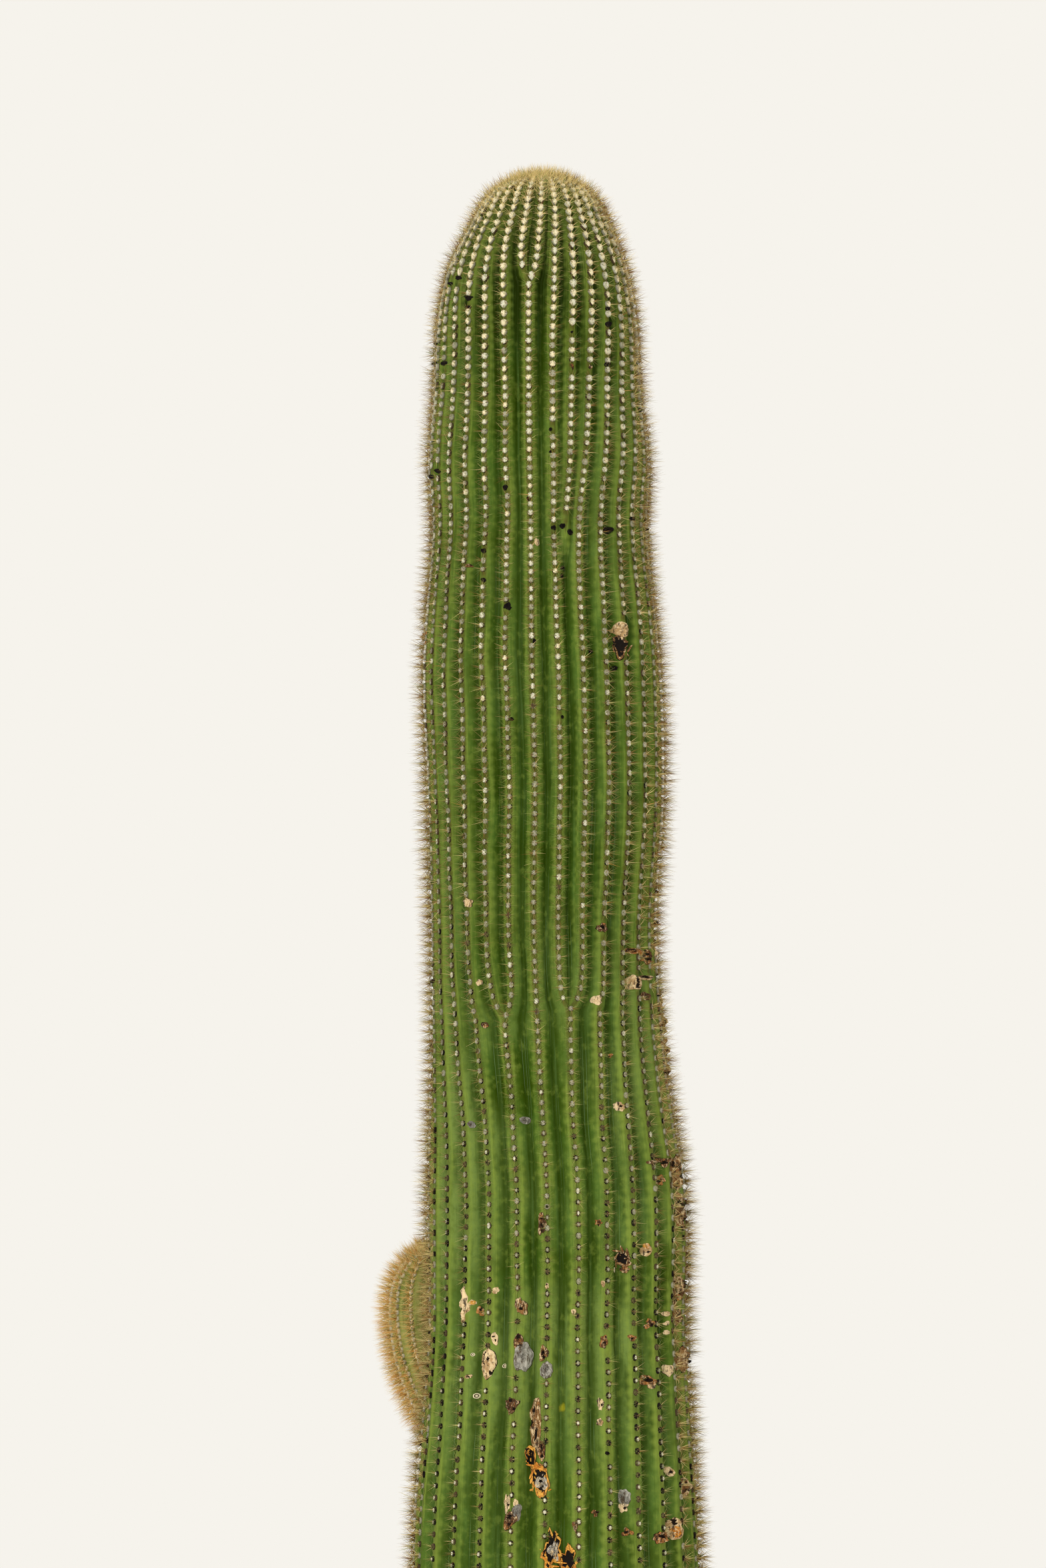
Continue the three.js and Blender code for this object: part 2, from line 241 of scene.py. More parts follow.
def at_height(table, gap, z):
    """A table's value for each gap at each height, straight between its rows."""
    row = np.clip(z / TABLE_STEP, 0, len(table) - 1.001)
    low = row.astype(int)
    return lerp(table[low, gap], table[low + 1, gap], row - low)


def trunk_radius(z):
    """Radius over the crests at a height."""
    return crest_radius(TRUNK_STATIONS, z)


def trunk_sway(z):
    """How far the trunk's middle has strayed to the right at a height."""
    return smooth_curve(TRUNK_STATIONS[:, 0], TRUNK_STATIONS[:, 2], z)


# The way out at a tip: all but straight up
TIP_FALL = 40


def trunk_normal(angle, z):
    """The way out: level on the sides, and over the dome as steep as the crests' radius falls with height."""
    step = 0.003
    fall = (trunk_radius(z - step) - trunk_radius(np.minimum(z + step, TRUNK_HEIGHT))) / (2 * step)
    fall = np.where(z > TRUNK_HEIGHT - step, TIP_FALL, fall)
    angle, fall = np.broadcast_arrays(angle, fall)
    return unit(np.stack([np.sin(angle), -np.cos(angle), fall], -1))


MERIDIAN_STEPS = 6001


def meridian():
    """Heights down the trunk, the distance from its tip over the skin, and the areoles passed on the way."""
    z = np.linspace(TRUNK_HEIGHT, 0, MERIDIAN_STEPS)
    run = np.hypot(np.diff(z), np.diff(trunk_radius(z)))
    pitch = np.interp((z[1:] + z[:-1]) / 2, AREOLE_STATIONS[:, 0], AREOLE_STATIONS[:, 1])
    return z, np.append(0, np.cumsum(run)), np.append(0, np.cumsum(run / pitch))


MERIDIAN_Z, MERIDIAN_RUN, MERIDIAN_COUNT = meridian()
AREOLE_RATES = 1 + np.random.default_rng(5).uniform(-0.03, 0.03, GAPS)
AREOLE_PHASES = np.random.default_rng(6).uniform(0, 1, GAPS)


def areoles_passed(gap, z):
    """How many areoles of a rib stand above a height: whole numbers fall on the areoles."""
    count = np.interp(-z, -MERIDIAN_Z, MERIDIAN_COUNT)
    return count * AREOLE_RATES[gap] + AREOLE_PHASES[gap]


def nearest_crest(gap, t):
    """The gap that starts at the crest nearest to a place t of the way over a gap."""
    return np.where(t < 0.5, gap, (gap + 1) % GAPS)


def rib_risen(gap, z):
    """How far the new rib beside a half gap has risen at a height, and 1 for the other gaps."""
    return ease((z - NEW_RIB_AT[gap]) / NEW_RIB_RISE + 1)


def trunk_point(gap, t, z, raised=0.0):
    """The trunk's skin t of the way over a gap at a height, raised along its way out.

    Radius = crest radius - furrow + tubercle + swelling. A half gap is part of one furrow until the new rib
    has risen. A tubercle is a bump exp(-(t / its width)^2 - (distance to the areole / its length)^2) on the
    crest. The swelling is a sum of three slow sines of angle and height.
    """
    width = at_height(GAP_WIDTHS, gap, z)
    angle = at_height(CREST_ANGLES, gap, z) + t * width
    radius = trunk_radius(z)
    cork = lerp(CORKY_RIB_SHARE, 1, ease(z / CORKY_FOOT_HEIGHT))

    def depth(gap_width):
        return np.minimum(RIB_DEPTH * cork, RIB_DEPTH_PER_PITCH * radius * gap_width)

    as_one = furrow((t + HALF[gap]) / 2, depth(2 * width))
    sunk = lerp(as_one, furrow(t, depth(width)), rib_risen(gap, z))
    nearest = nearest_crest(gap, t)
    from_crest = np.minimum(t, 1 - t)
    passed = areoles_passed(nearest, z)
    from_areole = (passed - np.round(passed)) * np.interp(z, AREOLE_STATIONS[:, 0], AREOLE_STATIONS[:, 1])
    standing = risen(z, CREST_FROM[nearest], CREST_RISE)
    bump = np.exp(-((from_crest / TUBERCLE_WIDTH) ** 2) - (from_areole / TUBERCLE_LENGTH) ** 2)
    bump = bump * cork * standing
    tip_share = ease((TRUNK_HEIGHT - z) / SMOOTH_TIP)
    swell = sum(np.sin(lobes * angle + z / run) for lobes, run in SWELL_WAVES)
    r = radius - sunk + (TUBERCLE * bump + SWELLING * swell / 2) * tip_share
    across, ahead = trunk_sway(z) + r * np.sin(angle), -r * np.cos(angle)
    flat = np.stack(np.broadcast_arrays(across, ahead, z + 0 * r), -1)
    return flat + np.asarray(raised)[..., None] * trunk_normal(angle, z)


def gap_at(angle, z):
    """The gap that an angle falls in at a height, and how far over that gap it is."""
    everywhere = np.arange(GAPS)
    starts = at_height(CREST_ANGLES, everywhere, z[..., None])
    turned = (angle - starts[..., 0]) % TURN
    starts = starts - starts[..., :1]
    gap = np.maximum((starts <= turned[..., None]).sum(-1) - 1, 0)
    start = np.take_along_axis(starts, gap[..., None], -1)[..., 0]
    return gap, (turned - start) / at_height(GAP_WIDTHS, gap, z)


# The column's radius that the search starts from, and how many times it is taken again
FIRST_RADIUS = 0.22
SIGHT_ROUNDS = 16


def seen_on_trunk(x, y):
    """Angle and height of the trunk behind pixels of the photograph.

    The pixel's ray meets a round column of the skin's radius, and the radius is taken again where it does,
    until both settle. A ray beside the column is taken to its edge.
    """
    right, up = (x - PHOTO_WIDTH / 2) / FOCAL_PIXELS, (PHOTO_HEIGHT / 2 - y) / FOCAL_PIXELS
    level = math.cos(CAMERA_TILT) - up * math.sin(CAMERA_TILT)
    rise = math.sin(CAMERA_TILT) + up * math.cos(CAMERA_TILT)
    radius = np.full(np.shape(x), FIRST_RADIUS)
    z = CAMERA_PLACE[2] - CAMERA_PLACE[1] * rise
    for _ in range(SIGHT_ROUNDS):
        across = CAMERA_PLACE[0] - trunk_sway(z)
        a = right**2 + level**2
        b = across * right + CAMERA_PLACE[1] * level
        c = across**2 + CAMERA_PLACE[1] ** 2 - radius**2
        reach = (-b - np.sqrt(np.maximum(b * b - a * c, 0))) / a
        z = np.clip(CAMERA_PLACE[2] + reach * rise, 0.02, TRUNK_HEIGHT - 0.01)
        angle = np.arctan2(across + reach * right, -(CAMERA_PLACE[1] + reach * level))
        gap, t = gap_at(angle, z)
        skin = trunk_point(gap, t, z)
        radius = (radius + np.hypot(skin[..., 0] - trunk_sway(z), skin[..., 1])) / 2
    return angle, z


# Marks of the skin

# Marks of the side seen, by kind: x and y of the middle, width and height, in pixels of the photograph
SEEN = {
    "scabs": (
        (696, 1959, 23, 50), (708, 1953, 7, 8), (731, 2045, 20, 46), (760, 2253, 11, 25), (773, 2253, 7, 9),
        (968, 1876, 10, 16), (998, 1970, 8, 8), (999, 1984, 6, 6), (1001, 2055, 11, 17), (977, 2076, 7, 13),
        (699, 1353, 13, 15), (952, 1473, 20, 22), (894, 1500, 13, 15), (928, 1659, 11, 14),
        (1009, 2292, 18, 33), (1003, 2207, 9, 14), (970, 1466, 17, 7), (805, 813, 8, 12),
        (900, 2105, 8, 17), (860, 1967, 7, 9), (820, 1928, 6, 8), (743, 1935, 8, 9), (702, 2064, 7, 6),
        (904, 1925, 5, 10), (934, 2259, 10, 16), (999, 1998, 6, 7), (975, 1440, 14, 8), (719, 1473, 6, 9),
        (742, 2007, 7, 20), (899, 2132, 8, 11),
    ),
    "brown_scabs": (
        (766, 2108, 18, 27), (777, 2012, 14, 26), (905, 2012, 10, 20), (722, 1966, 8, 14),
        (764, 2279, 19, 27), (811, 2174, 12, 34), (948, 2006, 10, 9), (1014, 1979, 5, 15),
        (812, 1836, 13, 33), (727, 1537, 8, 9), (978, 1742, 14, 8), (994, 1742, 12, 12),
        (984, 1024, 14, 30), (948, 1426, 18, 8), (968, 1434, 12, 22), (914, 1583, 5, 5), (703, 848, 7, 6),
        (903, 1391, 14, 13), (991, 2305, 14, 18), (940, 2297, 9, 12), (862, 2289, 6, 18), (892, 2269, 8, 9),
        (897, 1833, 8, 9), (988, 1770, 8, 14), (1012, 1975, 10, 24), (858, 550, 5, 9), (885, 550, 5, 9),
        (968, 1494, 8, 12), (936, 1904, 9, 9), (967, 2069, 14, 17), (974, 1984, 8, 13),
    ),
    "split": (
        (991, 1500, 15, 34), (993, 1535, 18, 44), (995, 1572, 16, 40), (999, 1606, 13, 40),
        (1004, 1760, 14, 50), (1010, 1815, 12, 44), (1016, 1935, 17, 42), (1015, 2040, 18, 32),
        (803, 2134, 24, 62), (781, 1958, 15, 27), (815, 2029, 15, 20), (1026, 2228, 14, 26),
    ),
    "silver_scabs": (
        (784, 2034, 24, 46), (819, 2054, 20, 24), (788, 1680, 15, 11), (935, 2246, 13, 26),
        (775, 2267, 12, 24), (707, 1686, 7, 10),
    ),
    "rings": (
        (921, 1904, 9, 9), (757, 2048, 8, 8), (715, 2093, 10, 10), (709, 2031, 6, 6),
    ),
    "stubs": (
        (757, 731, 10, 11), (761, 909, 13, 12), (905, 796, 16, 13), (843, 789, 10, 9), (854, 798, 11, 10),
        (830, 791, 10, 8), (725, 826, 8, 9), (725, 870, 7, 8), (843, 852, 10, 9), (842, 864, 9, 8),
        (792, 748, 7, 7), (931, 778, 8, 8), (801, 962, 7, 9), (884, 977, 6, 6), (920, 1002, 7, 7),
        (669, 705, 8, 8), (652, 715, 8, 8), (700, 451, 10, 9), (689, 417, 8, 7), (676, 426, 7, 6),
        (700, 464, 7, 7), (914, 490, 9, 9), (911, 464, 7, 7), (912, 548, 9, 8), (674, 544, 9, 8),
        (649, 544, 8, 7), (658, 514, 6, 6), (950, 540, 9, 8), (825, 644, 6, 6), (825, 677, 5, 5),
        (857, 498, 4, 4), (953, 613, 8, 7), (965, 609, 6, 6), (767, 1078, 6, 6), (843, 1075, 6, 6),
        (910, 2179, 6, 6), (1016, 2036, 9, 14), (1013, 1926, 8, 14),
    ),
    "wounds": (
        (797, 2188, 13, 38), (809, 2218, 24, 44), (828, 2322, 24, 46), (851, 2338, 20, 36),
        (933, 970, 17, 24), (935, 1887, 14, 20),
    ),
    "wound_crust": (
        (933, 944, 20, 22),
    ),
    "amber_spots": (
        (1010, 2297, 10, 18), (709, 1953, 6, 6), (968, 1869, 6, 8), (1014, 1944, 9, 10),
    ),
}
YELLOW_PATCH = (844, 2112)
# Dead areoles of the arm, in pixels too
ARM_DEAD = ((602, 1979), (586, 2001), (601, 2050))
# Marks strewn over the far side, by kind: how many, seed, lowest, highest, usual width and usual height
STREWN = {
    "scabs": (34, 61, 1.7, 3.6, 0.018, 0.036),
    "brown_scabs": (30, 62, 1.7, 4.0, 0.014, 0.026),
    "silver_scabs": (9, 63, 1.7, 2.8, 0.024, 0.040),
    "rings": (12, 64, 1.7, 3.0, 0.013, 0.013),
    "stubs": (46, 65, 2.2, 4.45, 0.012, 0.012),
}
# Marks all round the part below the photograph's edge, by kind: how many, and seed
LOW = {"scabs": (26, 66), "brown_scabs": (22, 67), "silver_scabs": (8, 68)}
# Wounds of the far side: angle, height, half width and half height
FAR_WOUNDS = ((2.9, 2.35, 0.016, 0.034), (-2.2, 3.2, 0.012, 0.024))
# Wounds: their depth, their reach against the mark's size, the trunk's usual radius there, and the share
# of the depth at which a crust lies
WOUND_DEPTH = 0.012
WOUND_REACH = 0.85
WOUNDED_RADIUS = 0.25
WOUND_BED = 0.7
# The first wounds of the table are fresh, and the first stretches of split bark are torn open
FRESH_WOUNDS = 4
TORN_SPLITS = 8
# How far a scar keeps the areoles off
MARK_ROOM = 0.003
# Stubs further round to the side than this stand on a crest
SIDE_FROM = 0.7


def seen_marks(marks):
    """Angle, height, half width and half height of marks given in pixels of the photograph."""
    x, y, width, height = np.array(marks, float).T
    angle, z = seen_on_trunk(x, y)
    half_width = width * METRES_PER_PIXEL / 2 / np.maximum(np.cos(angle), 0.7)
    return np.stack([angle, z, half_width, height * METRES_PER_PIXEL / 2], -1)


def on_the_crests(marks):
    """The marks at the sides moved round to the nearest crest, where dead areoles stand."""
    angle, z = marks[:, 0], marks[:, 1]
    crest = at_height(CREST_ANGLES, nearest_crest(*gap_at(angle, z)), z)
    return np.concatenate([np.where(np.abs(angle) > SIDE_FROM, crest, angle)[:, None], marks[:, 1:]], 1)


def photo_pixel(points):
    """Pixels of the photograph that points in space fall on."""
    x, y, z = (points - CAMERA_PLACE).T
    depth = y * math.cos(CAMERA_TILT) + z * math.sin(CAMERA_TILT)
    rise = z * math.cos(CAMERA_TILT) - y * math.sin(CAMERA_TILT)
    return PHOTO_WIDTH / 2 + FOCAL_PIXELS * x / depth, PHOTO_HEIGHT / 2 - FOCAL_PIXELS * rise / depth


def strewn_marks(count, seed, low, high, width, height):
    """Marks strewn over the far side, denser near the low height, of about a width and height in metres."""
    rng = np.random.default_rng(seed)
    angle = rng.uniform(math.radians(78), math.radians(282), count)
    z = lerp(low, high, rng.uniform(0, 1, count) ** 1.6)
    grown = rng.uniform(0.55, 1.35, (2, count))
    return np.stack([angle, z, width / 2 * grown[0], height / 2 * grown[1]], -1)


def low_marks(count, seed):
    """Marks all round the part of the trunk below the photograph's edge."""
    rng = np.random.default_rng(seed)
    size = rng.uniform(0.007, 0.016, count)
    angle, z = rng.uniform(0, TURN, count), rng.uniform(0.75, 1.78, count)
    return np.stack([angle, z, size, size * rng.uniform(0.9, 2.4, count)], -1)


def marks_of(kind):
    """Every mark of a kind: those seen, those strewn over the far side and those below the edge."""
    parts = [seen_marks(SEEN[kind])]
    if kind in STREWN:
        parts.append(strewn_marks(*STREWN[kind]))
    if kind in LOW:
        parts.append(low_marks(*LOW[kind]))
    return np.concatenate(parts)


MARKS = {kind: marks_of(kind) for kind in SEEN}
MARKS["scabs"] = np.concatenate([MARKS["scabs"], MARKS.pop("wound_crust")])
MARKS["stubs"] = on_the_crests(MARKS["stubs"])
MARKS["wounds"] = np.concatenate([MARKS["wounds"], FAR_WOUNDS])
# The kinds that no areole stands under
BARE_KINDS = ("scabs", "brown_scabs", "split", "silver_scabs", "stubs", "wounds")
PATCH = seen_on_trunk(*np.array(YELLOW_PATCH, float))


def round_difference(angle, other):
    """The smallest turn from one angle to another."""
    return (angle - other + math.pi) % TURN - math.pi


def under_marks(angle, z):
    """Whether a place on the trunk lies under a mark, so that no areole stands there."""
    marks = np.concatenate([MARKS[kind] for kind in BARE_KINDS])
    turned = round_difference(angle[:, None], marks[:, 0]) * trunk_radius(z)[:, None]
    across = turned / (marks[:, 2] + MARK_ROOM)
    along = (z[:, None] - marks[:, 1]) / (marks[:, 3] + MARK_ROOM)
    return (across**2 + along**2 < 1).any(1)


def wound_depth(angle, z):
    """How far the wounds sink the skin: depth * exp(-(distance in half sizes)^4), the deepest of them."""
    angle, z = np.broadcast_arrays(angle, z)
    deepest = np.zeros(angle.shape)
    for centre, height, half_width, half_height in MARKS["wounds"]:
        across = round_difference(angle, centre) * WOUNDED_RADIUS / (half_width * WOUND_REACH)
        along = (z - height) / (half_height * WOUND_REACH)
        deepest = np.maximum(deepest, WOUND_DEPTH * np.exp(-((across**2 + along**2) ** 2)))
    return deepest


# The arm's surface

ARM_STEPS = 2001


def arm_tables():
    """The arm's middle line at even distances: points and directions in its upright plane, and its length."""
    t = np.linspace(0, 1, ARM_STEPS)[:, None]
    foot, elbow, tip = ARM_LINE
    line = (1 - t) ** 2 * foot + 2 * t * (1 - t) * elbow + t**2 * tip
    run = np.append(0, np.cumsum(np.linalg.norm(np.diff(line, axis=0), axis=1)))
    heading = unit(2 * (1 - t) * (elbow - foot) + 2 * t * (tip - elbow))
    return run / run[-1], line, heading, run[-1]


ARM_ALONG, ARM_POINTS, ARM_HEADINGS, ARM_LENGTH = arm_tables()
ARM_OUT = np.array([math.sin(ARM_AZIMUTH), -math.cos(ARM_AZIMUTH), 0])
ARM_SIDE = np.array([math.cos(ARM_AZIMUTH), math.sin(ARM_AZIMUTH), 0])


def arm_frame(place, along):
    """Middle point, spoke, heading and way out of the arm, place ribs round and a share of the way along.

    The spoke is cos(angle) * front + sin(angle) * side, with front square to the heading in the arm's plane.
    """
    out, up = (np.interp(along, ARM_ALONG, ARM_POINTS[:, i])[..., None] for i in (0, 1))
    ahead, rise = (np.interp(along, ARM_ALONG, ARM_HEADINGS[:, i])[..., None] for i in (0, 1))
    middle = out * ARM_OUT + (ARM_FOOT_HEIGHT + up) * UP
    heading = ahead * ARM_OUT + rise * UP
    front = rise * ARM_OUT - ahead * UP
    angle = np.asarray(TURN * place / ARM_RIBS)[..., None]
    spoke = np.cos(angle) * front - np.sin(angle) * ARM_SIDE
    step = 0.004
    fall = crest_radius(ARM_STATIONS, along - step) - crest_radius(ARM_STATIONS, np.minimum(along + step, 1))
    fall = np.where(along > 1 - step, TIP_FALL, fall / (2 * step * ARM_LENGTH))
    return middle, spoke, heading, unit(spoke + fall[..., None] * heading)


def arm_point(place, along, raised=0.0):
    """The arm's skin: middle line + spoke * (crest radius - furrow), raised along its way out."""
    middle, spoke, _, normal = arm_frame(place, along)
    radius = crest_radius(ARM_STATIONS, along)
    depth = ARM_RIB_DEPTH_PER_PITCH * TURN * radius / ARM_RIBS
    passed = (1 - along) * ARM_LENGTH / ARM_AREOLE_PITCH
    from_areole = (passed - np.round(passed)) * ARM_AREOLE_PITCH
    t = place % 1
    near = (np.minimum(t, 1 - t) / ARM_TUBERCLE_WIDTH) ** 2
    bump = TUBERCLE * np.exp(-near - (from_areole / ARM_TUBERCLE_LENGTH) ** 2)
    r = radius - furrow(t, depth) + bump * ease((1 - along) / 0.1)
    return middle + spoke * r[..., None] + np.asarray(raised)[..., None] * normal


# Meshes

def add_piece(name, points, faces, paints, tints=None, uv=None, normals=None, smooth=False):
    """A new object from arrays. faces lists arrays of 3 or 4 corners, and uv gives each map's u and v."""
    mesh = bpy.data.meshes.new(name)
    corners = np.concatenate([part.ravel() for part in faces]).astype(np.int32)
    sizes = np.concatenate([np.full(len(part), part.shape[1]) for part in faces])
    mesh.vertices.add(len(points))
    mesh.vertices.foreach_set("co", np.ascontiguousarray(points, np.float32).ravel())
    mesh.loops.add(len(corners))
    mesh.loops.foreach_set("vertex_index", corners)
    mesh.polygons.add(len(sizes))
    mesh.polygons.foreach_set("loop_start", (np.cumsum(sizes) - sizes).astype(np.int32))
    mesh.polygons.foreach_set("use_smooth", np.full(len(sizes), smooth))
    for paint in paints:
        mesh.materials.append(paint)
    if tints is not None:
        mesh.polygons.foreach_set("material_index", tints.astype(np.int32))
    mesh.update(calc_edges=True)
    for layer, pair in (uv or {}).items():
        mesh.uv_layers.new(name=layer).data.foreach_set("uv", np.stack(pair, -1).astype(np.float32).ravel())
    if normals is not None:
        mesh.normals_split_custom_set_from_vertices(normals.astype(np.float32))
    piece = bpy.data.objects.new(name, mesh)
    bpy.context.scene.collection.objects.link(piece)
    return piece


def grid_faces(rows, columns):
    """Quads of a grid that is closed round its columns, and a fan to a pole at either end.

    Point row * columns + column is a grid point. The low pole and the high pole come after all of them.
    """
    here = np.arange(columns)
    following = (here + 1) % columns
    row = np.arange(rows - 1)[:, None] * columns
    quads = np.stack([row + here, row + following, row + following + columns, row + here + columns], -1)
    top = (rows - 1) * columns
    low_pole, high_pole = rows * columns, rows * columns + 1
    low_fan = np.stack([following, here, np.full(columns, low_pole)], -1)
    high_fan = np.stack([top + here, top + following, np.full(columns, high_pole)], -1)
    return quads.reshape(-1, 4), np.concatenate([low_fan, high_fan])


def grid_corners(left, right):
    """A value for every corner of grid_faces, from each row's values at both sides of every column."""
    quads = np.stack([left[:-1], right[:-1], right[1:], left[1:]], -1)
    low_fan = np.stack([right[0], left[0], left[0]], -1)
    high_fan = np.stack([left[-1], right[-1], left[-1]], -1)
    return np.concatenate([quads.ravel(), low_fan.ravel(), high_fan.ravel()])


def grid_normals(points):
    """Normals of a grid closed round its columns: the cross product of its two neighbour differences."""
    across = np.roll(points, -1, 1) - np.roll(points, 1, 1)
    return unit(np.cross(across, np.gradient(points, axis=0)))


def repeat_faces(faces, points, count):
    """The faces of one copy, repeated for each copy of so many points."""
    return (faces + np.arange(count)[:, None, None] * points).reshape(-1, faces.shape[1])


def needles(roots, directions, lengths, thickness):
    """Points and faces of closed three-sided needles, from a triangle round the root to one point."""
    side = unit(np.cross(directions, np.array([0.31, 0.52, 0.79])))
    other = np.cross(directions, side)
    turns = TURN / 3 * np.arange(3)[:, None, None]
    ring = roots + thickness[:, None] / 2 * (np.cos(turns) * side + np.sin(turns) * other)
    points = np.concatenate([ring, (roots + directions * lengths[:, None])[None]]).transpose(1, 0, 2)
    one = np.array([(0, 2, 1), (0, 1, 3), (1, 2, 3), (2, 0, 3)])
    return points.reshape(-1, 3), repeat_faces(one, 4, len(roots))


def dome_template(sides, rings):
    """A pad's points and faces: rings of (radius, height) from its foot up, a pole under it and one on top.

    The faces come in the order of grid_faces: bands from the foot up, the fan under the pad, the top fan.
    """
    angle = np.arange(sides) * TURN / sides
    points = [(r * math.cos(a), r * math.sin(a), h) for r, h in rings for a in angle]
    foot, top = rings[0][1], rings[-1][1]
    points += [(0, 0, foot), (0, 0, top + 0.06)]
    quads, fans = grid_faces(len(rings), sides)
    triangles = np.concatenate([quads[:, [0, 1, 2]], quads[:, [0, 2, 3]]], 1).reshape(-1, 3)
    return np.array(points), np.concatenate([triangles, fans])


def from_hex(value):
    """Linear red, green and blue of a colour written as 0xRRGGBB."""
    channels = [((value >> shift) & 255) / 255 for shift in (16, 8, 0)]
    return tuple(c / 12.92 if c <= 0.04045 else ((c + 0.055) / 1.055) ** 2.4 for c in channels)


# Shaders

class Socket:
    """An output of a node, with operators that each add one Math node."""

    def __init__(self, paint, link):
        self.paint = paint
        self.link = link

    def __add__(self, other):
        return self.paint.math("ADD", self, other)

    def __sub__(self, other):
        return self.paint.math("SUBTRACT", self, other)

    def __rsub__(self, other):
        return self.paint.math("SUBTRACT", other, self)

    def __mul__(self, other):
        return self.paint.math("MULTIPLY", self, other)

    def __truediv__(self, other):
        return self.paint.math("DIVIDE", self, other)

    def __pow__(self, other):
        return self.paint.math("POWER", self, other)

    __radd__ = __add__
    __rmul__ = __mul__


class Paint:
    """A material under construction."""

    def __init__(self, name):
        self.material = bpy.data.materials.new(name)
        self.material.use_nodes = True
        self.tree = self.material.node_tree
        self.tree.nodes.clear()

    def node(self, kind, settings=None, inputs=None, output=0):
        """Adds a node, sets what it is set to, fills or links its inputs, and gives one of its outputs."""
        node = self.tree.nodes.new("ShaderNode" + kind)
        for key, value in (settings or {}).items():
            setattr(node, key, value)
        for key, value in (inputs or {}).items():
            if isinstance(value, Socket):
                self.tree.links.new(value.link, node.inputs[key])
            else:
                node.inputs[key].default_value = value
        return Socket(self, node.outputs[output]) if node.outputs else None

    def math(self, operation, *values):
        return self.node("Math", {"operation": operation}, dict(enumerate(values)))

    def step(self, value, low, high):
        """0 at low and beyond it, 1 at high and beyond it, smooth between. Either may be the greater."""
        limits = {"Value": value, "From Min": low, "From Max": high}
        return self.node("MapRange", {"interpolation_type": "SMOOTHSTEP"}, limits)

    def mix(self, share, first, second):
        """The first colour where share is 0, the second where it is 1."""
        colours = [c if isinstance(c, Socket) else (*tuple(c)[:3], 1) for c in (first, second)]
        return self.node("Mix", {"data_type": "RGBA"}, {0: share, 6: colours[0], 7: colours[1]}, 2)

    def noise(self, vector, scale, detail=2.0, roughness=0.5):
        """Noise from 0 to 1, so many spots to each unit of the vector."""
        inputs = {"Vector": vector, "Scale": scale, "Detail": detail, "Roughness": roughness}
        return self.node("TexNoise", inputs=inputs)

    def stretched(self, vector, x, y, z):
        """The vector with each axis multiplied."""
        return self.node("VectorMath", {"operation": "MULTIPLY"}, {0: vector, 1: (x, y, z)})

    def uv_map(self, name):
        """The vector of a UV map, its u and its v."""
        vector = self.node("UVMap", {"uv_map": name})
        return vector, *(self.node("SeparateXYZ", inputs={0: vector}, output=i) for i in (0, 1))

    def bump(self, height, distance, strength=1.0):
        return self.node("Bump", inputs={"Height": height, "Distance": distance, "Strength": strength})

    def finish(self, **inputs):
        """The surface: inputs are the Principled shader's sockets, with _ for a space."""
        named = {}
        for key, value in inputs.items():
            is_colour = key in ("Base_Color", "Sheen_Tint") and not isinstance(value, Socket)
            named[key.replace("_", " ")] = (*tuple(value)[:3], 1) if is_colour else value
        shader = self.node("BsdfPrincipled", inputs=named)
        self.node("OutputMaterial", inputs={"Surface": shader})
        return self.material


def plain_paint(name, colour, roughness):
    """One plain tint, for the small parts that are dealt several of them."""
    return Paint(name).finish(Base_Color=colour, Roughness=roughness, Specular_IOR_Level=0.15)


def plain_paints(prefix, tints, colours, roughness):
    """A plain paint for each named colour, in order."""
    return [plain_paint(prefix + tint, getattr(colours, tint), roughness) for tint in tints]


# The crease lines beside the furrow's middle: how far off it each lies, and its width, as shares of the gap
CREASES = ((-0.085, 0.016), (0.012, 0.020), (0.105, 0.015))


